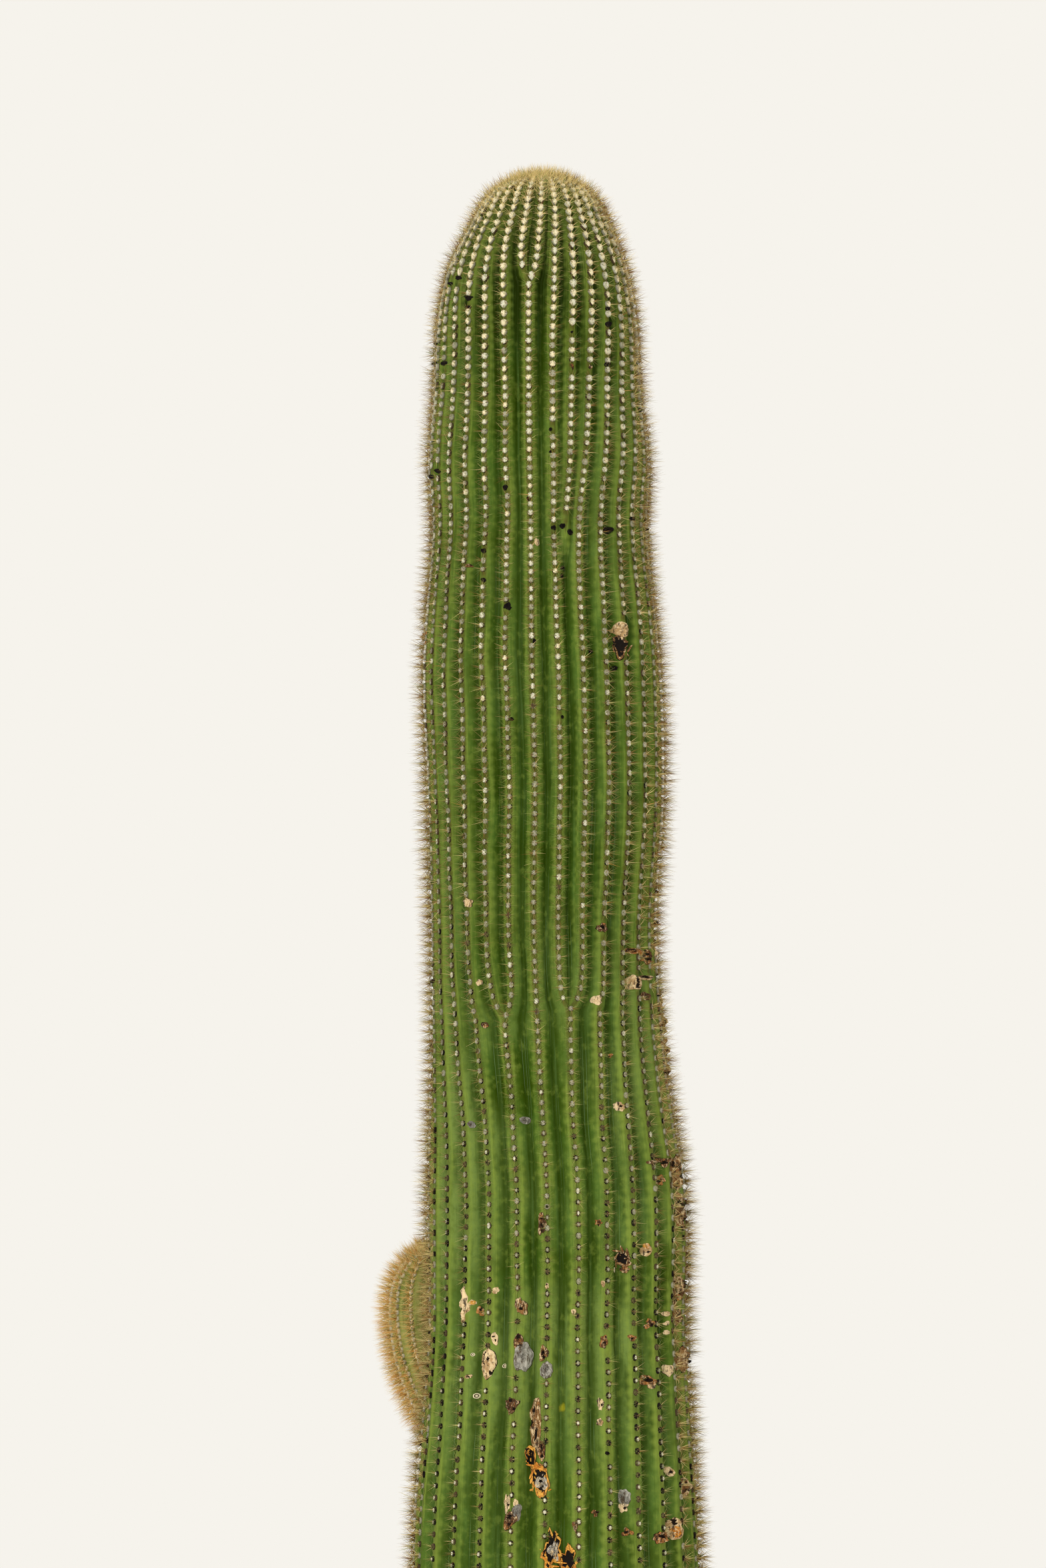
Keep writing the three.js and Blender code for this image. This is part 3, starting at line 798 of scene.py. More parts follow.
class SkinPaint(Paint):
    """Waxy ribbed skin on the UV maps of trunk_maps.

    Its height is the "ribs" map's v. away is the distance in metres from the nearest crest, between is 0 at
    an areole and 0.5 midway to the next, and crest is 1 on a crest and 0 in a furrow. youth is 1 on the arm.
    """

    def __init__(self, name, colours, youth=0.0):
        super().__init__(name)
        self.colours = colours
        self.youth = youth
        self.place = self.node("TexCoord", output="Object")
        self.ribs, u, self.height = self.uv_map("ribs")
        _, self.away, counted = self.uv_map("areoles")
        self.across = self.math("FRACT", u)
        self.crest = self.math("ABSOLUTE", self.math("COSINE", self.across * math.pi))
        self.between = self.math("ABSOLUTE", self.math("FRACT", counted + 0.5) - 0.5)
        self.opened = self.step(self.away, 0.002, 0.006)
        self.patches = self.noise(self.place, 9.0, 3)
        self.mottle = self.noise(self.place, 55.0, 3, 0.6)
        self.specks = self.noise(self.place, 260.0, 2)
        self.streaks = self.rib_noise(7.0, 3.0, 4, 0.6)
        self.fine = self.rib_noise(34.0, 9.0, 3, 0.6)
        self.blotches = self.rib_noise(3.2, 8.0, 3, 0.55)

    def rib_noise(self, across, up, detail=2.0, roughness=0.5):
        """Noise on the ribs' map, so many spots over a gap and over a metre of height."""
        return self.noise(self.stretched(self.ribs, across, up, 1.0), 1.0, detail, roughness)

    def flanks(self):
        """Green with slow patches and darker blotches, palest at 2.25 to 2.7 m. The arm's is yellower."""
        colours = self.colours
        green = self.mix(self.step(self.patches, 0.35, 0.68), colours.flank, colours.flank_deep)
        sunny = 0.35 + 0.65 * self.step(self.height, 3.2, 2.7) - 0.85 * self.step(self.height, 2.25, 1.85)
        pale = self.step(self.noise(self.place, 3.1, 2), 0.32, 0.58) * sunny
        green = self.mix(pale, green, colours.flank_pale)
        if self.youth:
            green = self.mix(0.85 * self.youth, green, colours.young)
        return self.mix(self.step(self.blotches, 0.48, 0.70) * 0.7, green, colours.furrow)

    def darkened(self, green):
        """Painted shade: the green darker in the furrows and nearly black between the crown's ribs. It is
        finely mottled too.
        """
        colours = self.colours
        # Painted shade: the furrows darkened towards the furrow colour, where the ribs shade them
        furrow_shade = self.step(self.crest, 0.70 - 0.1 * self.youth, 0.10) * self.opened
        green = self.mix(furrow_shade * 0.72, green, colours.furrow)
        green = self.mix(self.step(self.mottle, 0.50, 0.70) * 0.30, green, colours.border_and_highlight)
        green = self.mix(self.step(self.mottle, 0.50, 0.32) * 0.34, green, colours.flank_deep)
        # Painted shade: nearly black between the crown's ribs, where the dense spines and deep furrows shade
        # them
        crown = self.step(self.height, 4.02, 4.40) * self.step(self.crest, 0.98, 0.70) * self.opened
        return self.mix(crown * 0.74, green, colours.crown_furrow_shade)

    def crested(self, green):
        """The green with yellow-green scallops beside the areoles, partly paler skin and partly a painted
        highlight on the lit tubercles, and olive between them, partly the crest's brown and partly painted
        shade in the notches.
        """
        colours, youth = self.colours, self.youth
        reach = 0.0155 - 0.0095 * self.between + 0.004 * (self.streaks - 0.5) - 0.006 * youth
        bright = 0.15 + 0.85 * self.step(self.blotches * 0.5 + self.streaks * 0.5, 0.40, 0.58)
        # Partly painted highlight: a yellow-green band beside the crest, widest at each areole, where the
        # tubercles catch the light
        border_and_highlight = self.step(self.away, reach + 0.005, reach - 0.006) * bright
        full = 0.64 + 0.16 * self.step(self.height, 3.0, 2.4)
        green = self.mix(border_and_highlight * full, green, colours.border_and_highlight)
        # Olive on the crest, strongest midway between areoles and higher up: partly the crest's own brown,
        # partly painted shade in the notches between tubercles
        olive_by_height = 0.35 + 0.65 * self.step(self.height, 2.3, 3.2)
        olive_and_shade = self.step(self.away, 0.0080, 0.0035) * (0.40 + 0.9 * self.between) * olive_by_height
        return self.mix(olive_and_shade * (1 - 0.4 * youth), green, colours.young_crest_and_shade if youth else colours.olive_and_shade)

    def creases(self):
        """Thin broken lines that waver beside the middle of each furrow, up to the crown."""
        waver = (self.rib_noise(0.9, 2.2) - 0.5) * 0.10
        broken = self.step(self.rib_noise(2.0, 4.2, 3), 0.49, 0.64)
        lines = None
        for offset, width in CREASES:
            from_line = self.math("ABSOLUTE", self.across - 0.5 - offset - waver)
            line = self.step(from_line, width, 0.002)
            lines = line if lines is None else self.math("MAXIMUM", lines, line)
        return lines * broken * self.opened * self.step(self.height, 4.10, 3.75)

    def cork(self):
        """How corky the foot is, and its bark's colour."""
        colours = self.colours
        edge = self.height + (self.patches - 0.5) * 0.5 + (self.streaks - 0.5) * 0.35
        bark = self.mix(self.step(self.fine, 0.3, 0.7), colours.cork, colours.cork_dark)
        bark = self.mix(self.step(self.specks, 0.45, 0.7) * 0.5, bark, colours.cork_pale)
        return self.step(edge, 0.95, 0.45), bark

    def painted(self, patch=None):
        """The finished material, with one small yellow patch round a given point."""
        colours = self.colours
        green = self.crested(self.darkened(self.flanks()))
        # Pale blue-green streaks away from the crests: partly the wax bloom, partly a painted reflection of
        # the sky; as wax they are also less rough
        wax_and_sky_reflection = self.step(self.streaks, 0.50, 0.72) * self.step(self.crest, 0.86, 0.45)
        green = self.mix(wax_and_sky_reflection * 0.35, green, colours.wax_and_sky_reflection)
        green = self.mix(self.step(self.fine, 0.52, 0.74) * 0.35, green, colours.flank_deep)
        lines = self.creases()
        green = self.mix(lines * 0.3, green, colours.crease)
        cork, bark = self.cork()
        colour = self.mix(cork, green, bark)
        if patch is not None:
            distance = self.node("VectorMath", {"operation": "DISTANCE"}, {0: self.place, 1: tuple(patch)}, 1)
            yellow = self.step(distance + (self.mottle - 0.5) * 0.02, 0.010, 0.001)
            colour = self.mix(yellow * 0.55, colour, colours.yellow)
        cracks = self.node("Bump", inputs={
            "Height": self.fine * cork + lines * -0.25, "Distance": 0.004, "Strength": 0.7,
            "Normal": self.bump(self.specks, 0.0006, 0.35),
        })
        roughness = 0.50 + 0.12 * self.patches + 0.30 * cork - 0.08 * wax_and_sky_reflection
        return self.finish(Base_Color=colour, Roughness=roughness, Normal=cracks, Specular_IOR_Level=0.04)


def scab_paint(name, light, dark, streak, fleck, scale=120.0, flecked=0.54):
    """Dry cracked scar: a light crust with streaks, pale flecks and dark cracks that run up the trunk.

    A slow noise lets some scars be streaked more than others.
    """
    paint = Paint(name)
    place = paint.node("TexCoord", output="Object")
    crust = paint.noise(place, scale, 4, 0.65)
    grain = paint.noise(paint.stretched(place, 1.0, 1.0, 0.28), scale * 1.8, 3, 0.6)
    flecks = paint.noise(paint.stretched(place, 1.0, 1.0, 0.5), scale * 1.3, 3, 0.6)
    streaked = paint.noise(place, 13.0, 1)
    colour = paint.mix(paint.step(crust + (streaked - 0.5) * 0.7, 0.46, 0.58) * 0.9, light, streak)
    colour = paint.mix(paint.step(flecks, flecked, flecked + 0.06) * 0.8, colour, fleck)
    colour = paint.mix(paint.step(grain, 0.50, 0.64) * 0.92, colour, dark)
    bump = paint.bump(crust * 0.7 + grain * 0.5, 0.0025, 0.9)
    return paint.finish(Base_Color=colour, Roughness=0.85, Normal=bump, Specular_IOR_Level=0.25)


# Settings

def colour_property(name, description, value):
    return bpy.props.FloatVectorProperty(
        name=name, description=description, default=from_hex(value), size=3, subtype="COLOR", min=0, max=1
    )


class SaguaroColours(bpy.types.PropertyGroup):
    """Colours of the skin, the felt of the areoles, the spines and the scars."""

    flank: colour_property("Flank", "Green of the ribs' sides", 0x405D1C)
    flank_deep: colour_property("Deep flank", "Green of the darker patches", 0x324602)
    flank_pale: colour_property("Pale flank", "Green of the paler stretches", 0x667A38)
    # Crest border: yellow-green of the paler mottle, and of the partly painted highlight beside the areoles
    border_and_highlight: colour_property("Crest border", "Yellow-green beside the areoles", 0x7A8C38)
    # Furrow: dark green of the flanks' blotches, and of the painted shade in the furrows
    furrow: colour_property("Furrow", "Dark green between the ribs", 0x263A02)
    # Painted shade: nearly black green for the shadow between the crown's ribs
    crown_furrow_shade: colour_property("Deep furrow", "Nearly black green between the crown's ribs", 0x181F02)
    # Partly painted reflection: the wax bloom's pale blue-green, also standing for the sky reflected on the
    # flanks
    wax_and_sky_reflection: colour_property("Wax", "Pale bloom in streaks", 0x58743A)
    # Partly painted shade: olive of the notches on the crests between the areoles
    olive_and_shade: colour_property("Olive crest", "Crests between the areoles", 0x4E4A1C)
    yellow: colour_property("Yellow patch", "A sunburnt patch", 0xA9A01F)
    crease: colour_property("Crease", "Thin pale lines in the furrows", 0x7C9A64)
    young: colour_property("Young skin", "Green of the arm", 0x9C9A56)
    # Partly painted shade: brown of the notches on the arm's crests between the areoles
    young_crest_and_shade: colour_property("Young crest", "Brown crests between the arm's areoles", 0x7A6026)
    cork: colour_property("Cork", "Bark of the foot", 0x7C6C55)
    cork_dark: colour_property("Dark cork", "Cracks of the foot's bark", 0x40362A)
    cork_pale: colour_property("Pale cork", "Flakes of the foot's bark", 0xA59A84)
    felt_cream: colour_property("Cream felt", "Areoles at the crown", 0xDED2AE)
    felt_white: colour_property("White felt", "Areoles of the upper trunk", 0xCCC8B0)
    felt_grey: colour_property("Grey felt", "Weathered areoles", 0x9A9680)
    felt_brown: colour_property("Brown felt", "Old areoles", 0x4C3E2C)
    felt_black: colour_property("Black felt", "Dead areoles", 0x18120E)
    straw: colour_property("Straw spines", "Spines of the crown", 0xE2CA88)
    pale: colour_property("Pale spines", "Bleached spines", 0x86904C)
    tan: colour_property("Tan spines", "Weathered spines", 0x9A8250)
    rust: colour_property("Rust spines", "Red-brown spines", 0x86582C)
    gold: colour_property("Golden spines", "Spines of the arm", 0xD8A456)
    dark: colour_property("Dark spines", "Old spines", 0x443A1C)
    scab: colour_property("Scab", "Crust of the scars", 0xDCC296)
    scab_tan: colour_property("Tan scab", "Streaks of the crust", 0xA88658)
    scab_brown: colour_property("Brown scab", "Browner crust", 0x5E3D22)
    scab_rust: colour_property("Rusty scab", "Rusty streaks of the brown crust", 0xB4783C)
    scab_dark: colour_property("Dark scab", "Cracks of the scars", 0x1C120B)
    bark: colour_property("Split bark", "Torn bark along a rib", 0x8A6236)
    silver: colour_property("Silver scab", "Weathered grey crust", 0x7E7A70)
    silver_pale: colour_property("Pale silver scab", "Ridges of the grey crust", 0xA8A498)
    wound: colour_property("Wound", "Orange rims of the wounds", 0xB86C1C)
    wound_pale: colour_property("Pale wound", "Yellow ridges of the wounds' rims", 0xDCA446)


class SaguaroSizes(bpy.types.PropertyGroup):
    """Sizes of the small parts."""

    spine_length: bpy.props.FloatProperty(
        name="Spine length", description="Length of the longest spines",
        default=0.041, min=0.01, max=0.05, subtype="DISTANCE", unit="LENGTH",
    )
    spine_thickness: bpy.props.FloatProperty(
        name="Spine thickness", description="Thickness of a spine at its root",
        default=0.0015, min=0.0004, max=0.003, subtype="DISTANCE", unit="LENGTH",
    )
    spines_each: bpy.props.IntProperty(
        name="Spines", description="Spines on an areole of the side seen", default=26, min=4, max=34,
    )
    scab_thickness: bpy.props.FloatProperty(
        name="Scab thickness", description="How far a scab stands out of the skin",
        default=0.0035, min=0.001, max=0.01, subtype="DISTANCE", unit="LENGTH",
    )


# Operators

# How far into the piece the middle of its closed end is drawn, where two pieces of the skin meet
JOIN_INSET = 0.02


def trunk_rows():
    """Heights of the skin's rows from the ground up: close over the part that shows, wider below it."""
    seen_run = np.interp(-SEEN_FROM, -MERIDIAN_Z, MERIDIAN_RUN)
    runs = np.append(
        np.arange(TIP_ROOM, seen_run, ROW_STEP_SEEN),
        np.arange(seen_run, MERIDIAN_RUN[-1] - GROUND_ROOM, ROW_STEP_BELOW),
    )
    return np.append(np.interp(runs, MERIDIAN_RUN, MERIDIAN_Z), 0)[::-1]


def trunk_maps(gap, t, z):
    """The trunk's two UV maps, as (left, right) values of u and of v for each row and column of the skin.

    In "ribs", u is gap number + t, with a half gap as half of one furrow until its new rib has risen, and v
    is the height. In "areoles", u is the distance in metres from the nearest crest, and v counts areoles.
    """
    shape = np.broadcast_shapes(gap.shape, z.shape)
    height = np.broadcast_to(z, shape)
    passed = areoles_passed(np.broadcast_to(nearest_crest(gap, t), shape), height)
    width = at_height(GAP_WIDTHS, gap, z) * trunk_radius(z)
    whole = rib_risen(gap, z)
    across, away = [], []
    for edge in (t, t + 1 / COLUMNS_PER_GAP):
        joined = (edge + HALF[gap]) / 2
        across.append(gap + lerp(joined, edge, whole))
        away.append(lerp(2 * np.minimum(joined, 1 - joined), np.minimum(edge, 1 - edge), whole) * width)
    return {"ribs": (across, (height, height)), "areoles": (away, (passed, passed))}


class TrunkSkin(bpy.types.Operator):
    """The trunk's ribbed skin, in three pieces that stand on each other"""

    bl_idname = "mesh.saguaro_trunk_skin"
    bl_label = "Trunk skin"

    def execute(self, context):
        z = trunk_rows()[:, None]
        columns = GAPS * COLUMNS_PER_GAP
        column = np.arange(columns)[None]
        gap, t = column // COLUMNS_PER_GAP, column % COLUMNS_PER_GAP / COLUMNS_PER_GAP
        angle = at_height(CREST_ANGLES, gap, z) + t * at_height(GAP_WIDTHS, gap, z)
        points = trunk_point(gap, t, z, -wound_depth(angle, z))
        normals = grid_normals(points)
        patch = trunk_point(*gap_at(*PATCH), PATCH[1])
        paint = SkinPaint("trunk_skin", context.scene.saguaro_colours).painted(patch)
        maps = trunk_maps(gap, t, z)
        thirds = np.linspace(0, len(z) - 1, 4).astype(int)
        for name, low, high in zip(("low", "middle", "high"), thirds[:-1], thirds[1:]):
            rows = slice(low, high + 1)
            heights = z[rows, 0]
            bottom = heights[0] + (JOIN_INSET if low else 0)
            top = heights[-1] - JOIN_INSET if high < thirds[-1] else TRUNK_HEIGHT
            poles = [(trunk_sway(heights[0]), 0, bottom), (trunk_sway(heights[-1]), 0, top)]
            uv = {
                layer: [grid_corners(*(side[rows] for side in value)) for value in pair]
                for layer, pair in maps.items()
            }
            piece = add_piece(
                "trunk_skin_" + name, np.concatenate([points[rows].reshape(-1, 3), poles]),
                grid_faces(len(heights), columns), [paint], uv=uv, smooth=True,
                normals=np.concatenate([normals[rows].reshape(-1, 3), [-UP, UP]]),
            )
            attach(piece, "root")
            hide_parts("trunk")
        return {"FINISHED"}


class ArmSkin(bpy.types.Operator):
    """The arm's ribbed skin"""

    bl_idname = "mesh.saguaro_arm_skin"
    bl_label = "Arm skin"

    def execute(self, context):
        columns = ARM_RIBS * ARM_COLUMNS_PER_GAP
        along = (1 - (1 - np.linspace(0, 0.998, ARM_ROWS)) ** 1.5)[:, None]
        place = np.arange(columns)[None] / ARM_COLUMNS_PER_GAP
        points = arm_point(place, along)
        poles = [arm_frame(np.zeros(()), np.array(end))[0] for end in (0.0, 1.0)]
        left, height = np.broadcast_arrays(place, along * ARM_LENGTH + ARM_FOOT_HEIGHT)
        right = left + 1 / ARM_COLUMNS_PER_GAP
        t = place % 1
        pitch = TURN * crest_radius(ARM_STATIONS, along) / ARM_RIBS
        away = [np.minimum(edge, 1 - edge) * pitch for edge in (t, t + 1 / ARM_COLUMNS_PER_GAP)]
        passed = (1 - along + 0 * place) * ARM_LENGTH / ARM_AREOLE_PITCH
        piece = add_piece(
            "arm_skin", np.concatenate([points.reshape(-1, 3), poles]), grid_faces(ARM_ROWS, columns),
            [SkinPaint("arm_skin", context.scene.saguaro_colours, youth=1.0).painted()], smooth=True,
            normals=np.concatenate([grid_normals(points).reshape(-1, 3), [-ARM_OUT, UP]]),
            uv={
                "ribs": [grid_corners(left, right), grid_corners(height, height)],
                "areoles": [grid_corners(*away), grid_corners(passed, passed)],
            },
        )
        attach(piece, "root")
        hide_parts("arm")
        return {"FINISHED"}


FELTS = ("felt_cream", "felt_white", "felt_grey", "felt_brown", "felt_black")
# How often each felt shows, at each height of the trunk: the cap of an areole, then the ring round it, whose
# darker felts are partly old felt and partly painted shade round the pad's foot
CAP_SHARES = np.array([
    (0, 0.00, 0.05, 0.35, 0.35, 0.25), (1.8, 0.00, 0.50, 0.20, 0.10, 0.20),
    (2.08, 0.00, 0.30, 0.32, 0.18, 0.20), (2.25, 0.00, 0.10, 0.48, 0.22, 0.20),
    (2.7, 0.00, 0.10, 0.80, 0.08, 0.02), (3.1, 0.00, 0.14, 0.84, 0.02, 0.00),
    (3.5, 0.02, 0.28, 0.70, 0.00, 0.00), (4.05, 0.06, 0.64, 0.30, 0.00, 0.00),
    (4.25, 0.50, 0.48, 0.02, 0.00, 0.00), (4.4, 0.80, 0.20, 0.00, 0.00, 0.00),
    (4.7, 1.00, 0.00, 0.00, 0.00, 0.00),
])
RING_AND_FOOT_SHADE_SHARES = np.array([
    (0, 0.00, 0.00, 0.15, 0.50, 0.35), (1.8, 0.00, 0.00, 0.00, 0.30, 0.70),
    (2.4, 0.00, 0.00, 0.00, 0.36, 0.64), (3.0, 0.00, 0.00, 0.30, 0.64, 0.06),
    (3.6, 0.00, 0.04, 0.56, 0.39, 0.01), (4.1, 0.04, 0.26, 0.60, 0.10, 0.00),
    (4.4, 0.20, 0.22, 0.48, 0.10, 0.00), (4.7, 0.80, 0.20, 0.00, 0.00, 0.00),
])


def deal(shares, z, rng):
    """A number for each height, drawn by the shares of that height."""
    weights = np.stack([np.interp(z, shares[:, 0], column) for column in shares[:, 1:].T], -1)
    sums = np.cumsum(weights, -1)
    drawn = rng.uniform(0, 1, len(z))[:, None] * sums[:, -1:]
    return np.minimum((drawn > sums).sum(-1), shares.shape[1] - 2)


# More areoles than a rib has, the lowest and the highest that stand, and how many of the foot's are left
MOST_AREOLES = 330
LOWEST_AREOLE, HIGHEST_AREOLE = 0.035, 4.6045
FOOT_AREOLES = 0.25


def trunk_areoles():
    """Gap and height of every areole: where areoles_passed is whole, above where its rib starts."""
    number, gap = np.meshgrid(np.arange(1, MOST_AREOLES), np.arange(GAPS))
    number, gap = number.ravel(), gap.ravel()
    count = (number - AREOLE_PHASES[gap]) / AREOLE_RATES[gap]
    z = np.interp(count, MERIDIAN_COUNT, MERIDIAN_Z)
    started = np.where(HALF > 0, NEW_RIB_AT, OPENS_AT + FORK_OPENING / 2)[gap]
    kept = (z > LOWEST_AREOLE) & (z > started) & (count < MERIDIAN_COUNT[-1]) & (z < HIGHEST_AREOLE)
    left = FOOT_AREOLES + (1 - FOOT_AREOLES) * z / CORKY_FOOT_HEIGHT
    kept &= np.random.default_rng(8).uniform(0, 1, len(z)) < left
    kept &= ~under_marks(at_height(CREST_ANGLES, gap, z), z)
    return gap[kept], z[kept]


class Spots(typing.NamedTuple):
    """Areoles as arrays: their place on the skin, way out, side and way up, and width, height and rise."""

    places: np.ndarray
    out: np.ndarray
    side: np.ndarray
    up: np.ndarray
    widths: np.ndarray
    heights: np.ndarray
    rise: np.ndarray


def trunk_side(angle):
    """The level way to the right along the trunk's skin."""
    return np.stack([np.cos(angle), np.sin(angle), 0 * angle], -1)


# How far an areole stands out of the trunk's skin, on the sides and at the crown, and where it changes
PAD_RISE, CROWN_PAD_RISE = 0.0036, 0.0050
PADS_CHANGE = (3.8, 0.4)


def trunk_spots(gap, z):
    """Areoles on the first crests of gaps, with the usual sizes of their heights."""
    angle = at_height(CREST_ANGLES, gap, z)
    out, side = trunk_normal(angle, z), trunk_side(angle)
    widths, heights = (np.interp(z, AREOLE_STATIONS[:, 0], AREOLE_STATIONS[:, i]) for i in (2, 3))
    rise = lerp(PAD_RISE, CROWN_PAD_RISE, risen(z, *PADS_CHANGE))
    places = trunk_point(gap, np.zeros(len(z)), z)
    return Spots(places, out, side, np.cross(out, side), widths, heights, rise)


# The fringe: how far round from the middle rib it begins and thins out, and the heights it begins between
FRINGE_BEGINS = (0.98, 1.28)
FRINGE_THINS = (1.5, 2.6)
FRINGE_HEIGHTS = (1.0, 1.6)


def fringe_share(gap, z):
    """0 on the ribs of the side seen, 1 on those of its outline, and a third on the far side's."""
    turned = np.abs(round_difference(at_height(CREST_ANGLES, gap, z), MIDDLE_RIB))
    begun = risen(turned, FRINGE_BEGINS[0], FRINGE_BEGINS[1] - FRINGE_BEGINS[0])
    kept = lerp(1 / 3, 1, ease((FRINGE_THINS[1] - turned) / (FRINGE_THINS[1] - FRINGE_THINS[0])))
    return begun * kept * risen(z, FRINGE_HEIGHTS[0], FRINGE_HEIGHTS[1] - FRINGE_HEIGHTS[0])


# A pad's rings, from its foot up: radius and height as shares of its own
PAD_RINGS = ((1.0, -0.5), (0.86, 0.50), (0.54, 0.74))
PAD_SIDES = 8
# How far the lower end of a heart-shaped pad narrows and reaches down, as shares of the pad
HEART_NARROWS, HEART_REACHES = 0.75, 0.30


def add_pads(name, spots, caps, rings, paints, heart, glint_dotted):
    """Felt pads joined as one piece. heart, 0 to 1, draws a pad's lower end down to a point.

    A pad's lowest band takes the ring's felt, whose darker tints also paint the shade round the pad's foot,
    and the rest the cap's. On a dotted pad only the top fan is cap, a pale dot painted as a glint on the dark
    pad.
    """
    template, triangles = dome_template(PAD_SIDES, PAD_RINGS)
    low = np.clip(-template[:, 1], 0, 1)
    narrowed = 1 - heart[:, None] * HEART_NARROWS * low**1.5
    reaching = 1 + heart[:, None] * HEART_REACHES * low
    drawn = template[None] * np.stack(np.broadcast_arrays(narrowed, reaching, 1.0), -1)
    scale = np.stack([spots.widths / 2, spots.heights / 2, spots.rise], -1)
    axes = np.stack([spots.side, spots.up, spots.out], 1)
    points = np.einsum("nva,nab->nvb", drawn * scale[:, None], axes) + spots.places[:, None]
    number = np.arange(len(triangles))
    fan = number >= len(triangles) - PAD_SIDES
    rim = (number < 2 * PAD_SIDES) | ((number >= len(triangles) - 2 * PAD_SIDES) & ~fan)
    from_ring = np.where(glint_dotted[:, None], ~fan, rim)
    tints = np.where(from_ring, rings[:, None], caps[:, None]).ravel()
    faces = repeat_faces(triangles, len(template), len(spots.places))
    piece = add_piece(name, points.reshape(-1, 3), [faces], paints, tints=tints, smooth=True)
    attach(piece, "root")


BAND_EDGES = (0, 1.45, 2.30, 3.05, 3.80, 4.7)
BAND_NAMES = ("foot", "low", "middle", "upper", "crown")


def bands(z):
    """The name of each band of heights, and which of the heights lie in it."""
    for name, low, high in zip(BAND_NAMES, BAND_EDGES[:-1], BAND_EDGES[1:]):
        yield name, (z >= low) & (z < high)


# Where pads turn heart-shaped and where the dotted ones, dark pads with a pale dot painted as a glint on top,
# end: a height, and the run of the change above it
HEARTS_FROM, GLINT_DOTS_END = (4.12, 0.28), (2.2, 0.7)
MOST_HEART = 0.9
# The share of the fringe's areoles whose ring is no darker than grey
FRINGE_GREYED = 0.75
# How much the widths and the heights of all the pads vary
PAD_WIDTHS, PAD_HEIGHTS = (0.85, 1.12), (0.88, 1.12)


class TrunkAreoles(bpy.types.Operator):
    """The felt pads along the trunk's ribs"""

    bl_idname = "mesh.saguaro_trunk_areoles"
    bl_label = "Trunk areoles"

    def execute(self, context):
        paints = plain_paints("", FELTS, context.scene.saguaro_colours, 0.95)
        rng = np.random.default_rng(21)
        gap, z = trunk_areoles()
        spots = trunk_spots(gap, z)
        spots = spots._replace(
            widths=spots.widths * rng.uniform(*PAD_WIDTHS, len(z)),
            heights=spots.heights * rng.uniform(*PAD_HEIGHTS, len(z)),
        )
        caps, rings = deal(CAP_SHARES, z, rng), deal(RING_AND_FOOT_SHADE_SHARES, z, rng)
        heart = risen(z, *HEARTS_FROM) * MOST_HEART
        # Painted glint: low on the trunk many pads are dark, with only their top fan in the cap's mostly
        # paler felt
        glint_dotted = rng.uniform(0, 1, len(z)) > risen(z, *GLINT_DOTS_END)
        greyed = rng.uniform(0, 1, len(z)) < FRINGE_GREYED * fringe_share(gap, z)
        rings = np.where(greyed, np.minimum(rings, FELTS.index("felt_grey")), rings)
        for name, here in bands(z):
            pads = Spots(*(part[here] for part in spots))
            add_pads("areoles_" + name, pads, caps[here], rings[here], paints, heart[here], glint_dotted[here])
        return {"FINISHED"}


SPINES = ("straw", "pale", "tan", "rust", "gold", "dark")
# How often each tint of spine shows, at each height of the trunk: the radials, then the centrals
RADIAL_SHARES = np.array([
    (0, 0.00, 0.10, 0.20, 0.10, 0.00, 0.60), (1.8, 0.00, 0.68, 0.06, 0.02, 0.00, 0.24),
    (2.9, 0.02, 0.54, 0.14, 0.06, 0.00, 0.24), (3.8, 0.02, 0.42, 0.24, 0.08, 0.00, 0.24),
    (4.25, 0.00, 0.44, 0.24, 0.06, 0.00, 0.26), (4.43, 0.16, 0.36, 0.28, 0.00, 0.00, 0.20),
    (4.7, 0.90, 0.10, 0.00, 0.00, 0.00, 0.00),
])
CENTRAL_SHARES = np.array([
    (0, 0.00, 0.10, 0.20, 0.10, 0.00, 0.60), (1.8, 0.12, 0.34, 0.26, 0.06, 0.00, 0.22),
    (3.0, 0.05, 0.31, 0.38, 0.08, 0.00, 0.18), (4.0, 0.08, 0.20, 0.44, 0.12, 0.02, 0.14),
    (4.40, 0.16, 0.28, 0.38, 0.04, 0.00, 0.14), (4.7, 0.90, 0.10, 0.00, 0.00, 0.00, 0.00),
])
# Spines on an areole, against the setting, at each height of the trunk
SPINE_NUMBERS = np.array([
    (0, 0.25), (0.9, 0.45), (1.7, 0.95), (2.4, 1.0), (4.1, 1.0), (4.35, 0.85), (4.7, 0.9),
])
# The share of centrals among them, then the centrals' and the radials' length against the setting
CENTRALS = np.array([
    (0, 0.30, 0.60, 0.45), (1.7, 0.34, 0.68, 0.48), (2.5, 0.34, 0.76, 0.54), (3.2, 0.30, 0.98, 0.62),
    (3.9, 0.18, 0.90, 0.62), (4.3, 0.18, 0.85, 0.58), (4.7, 0.18, 0.85, 0.56),
])
# What the fringe adds to the spines' number, length and thickness, and what its low part adds besides
FRINGE_GAINS = (0.6, 0.20, 0.10)
LOW_FRINGE_GAINS = (0.5, 0.35, 0.25)
# Where its low part ends, how far below that it is in full, and what the fringe adds to the share of centrals
LOW_FRINGE_TOP, LOW_FRINGE_FADE = 2.9, 0.5
FRINGE_CENTRALS = 0.12
# The share of the fringe's spines in its own tints, how soon it is reached, and how often each tint shows.
# These straw, tan and rust tints, dealt on the outline ribs, are partly painted backlight: the orange glow of
# spines lit from behind
BACKLIT_SHARE, BACKLIT_GAIN = 0.75, 1.8
BACKLIT_FRINGE_TINTS = (0.30, 0.04, 0.38, 0.28)
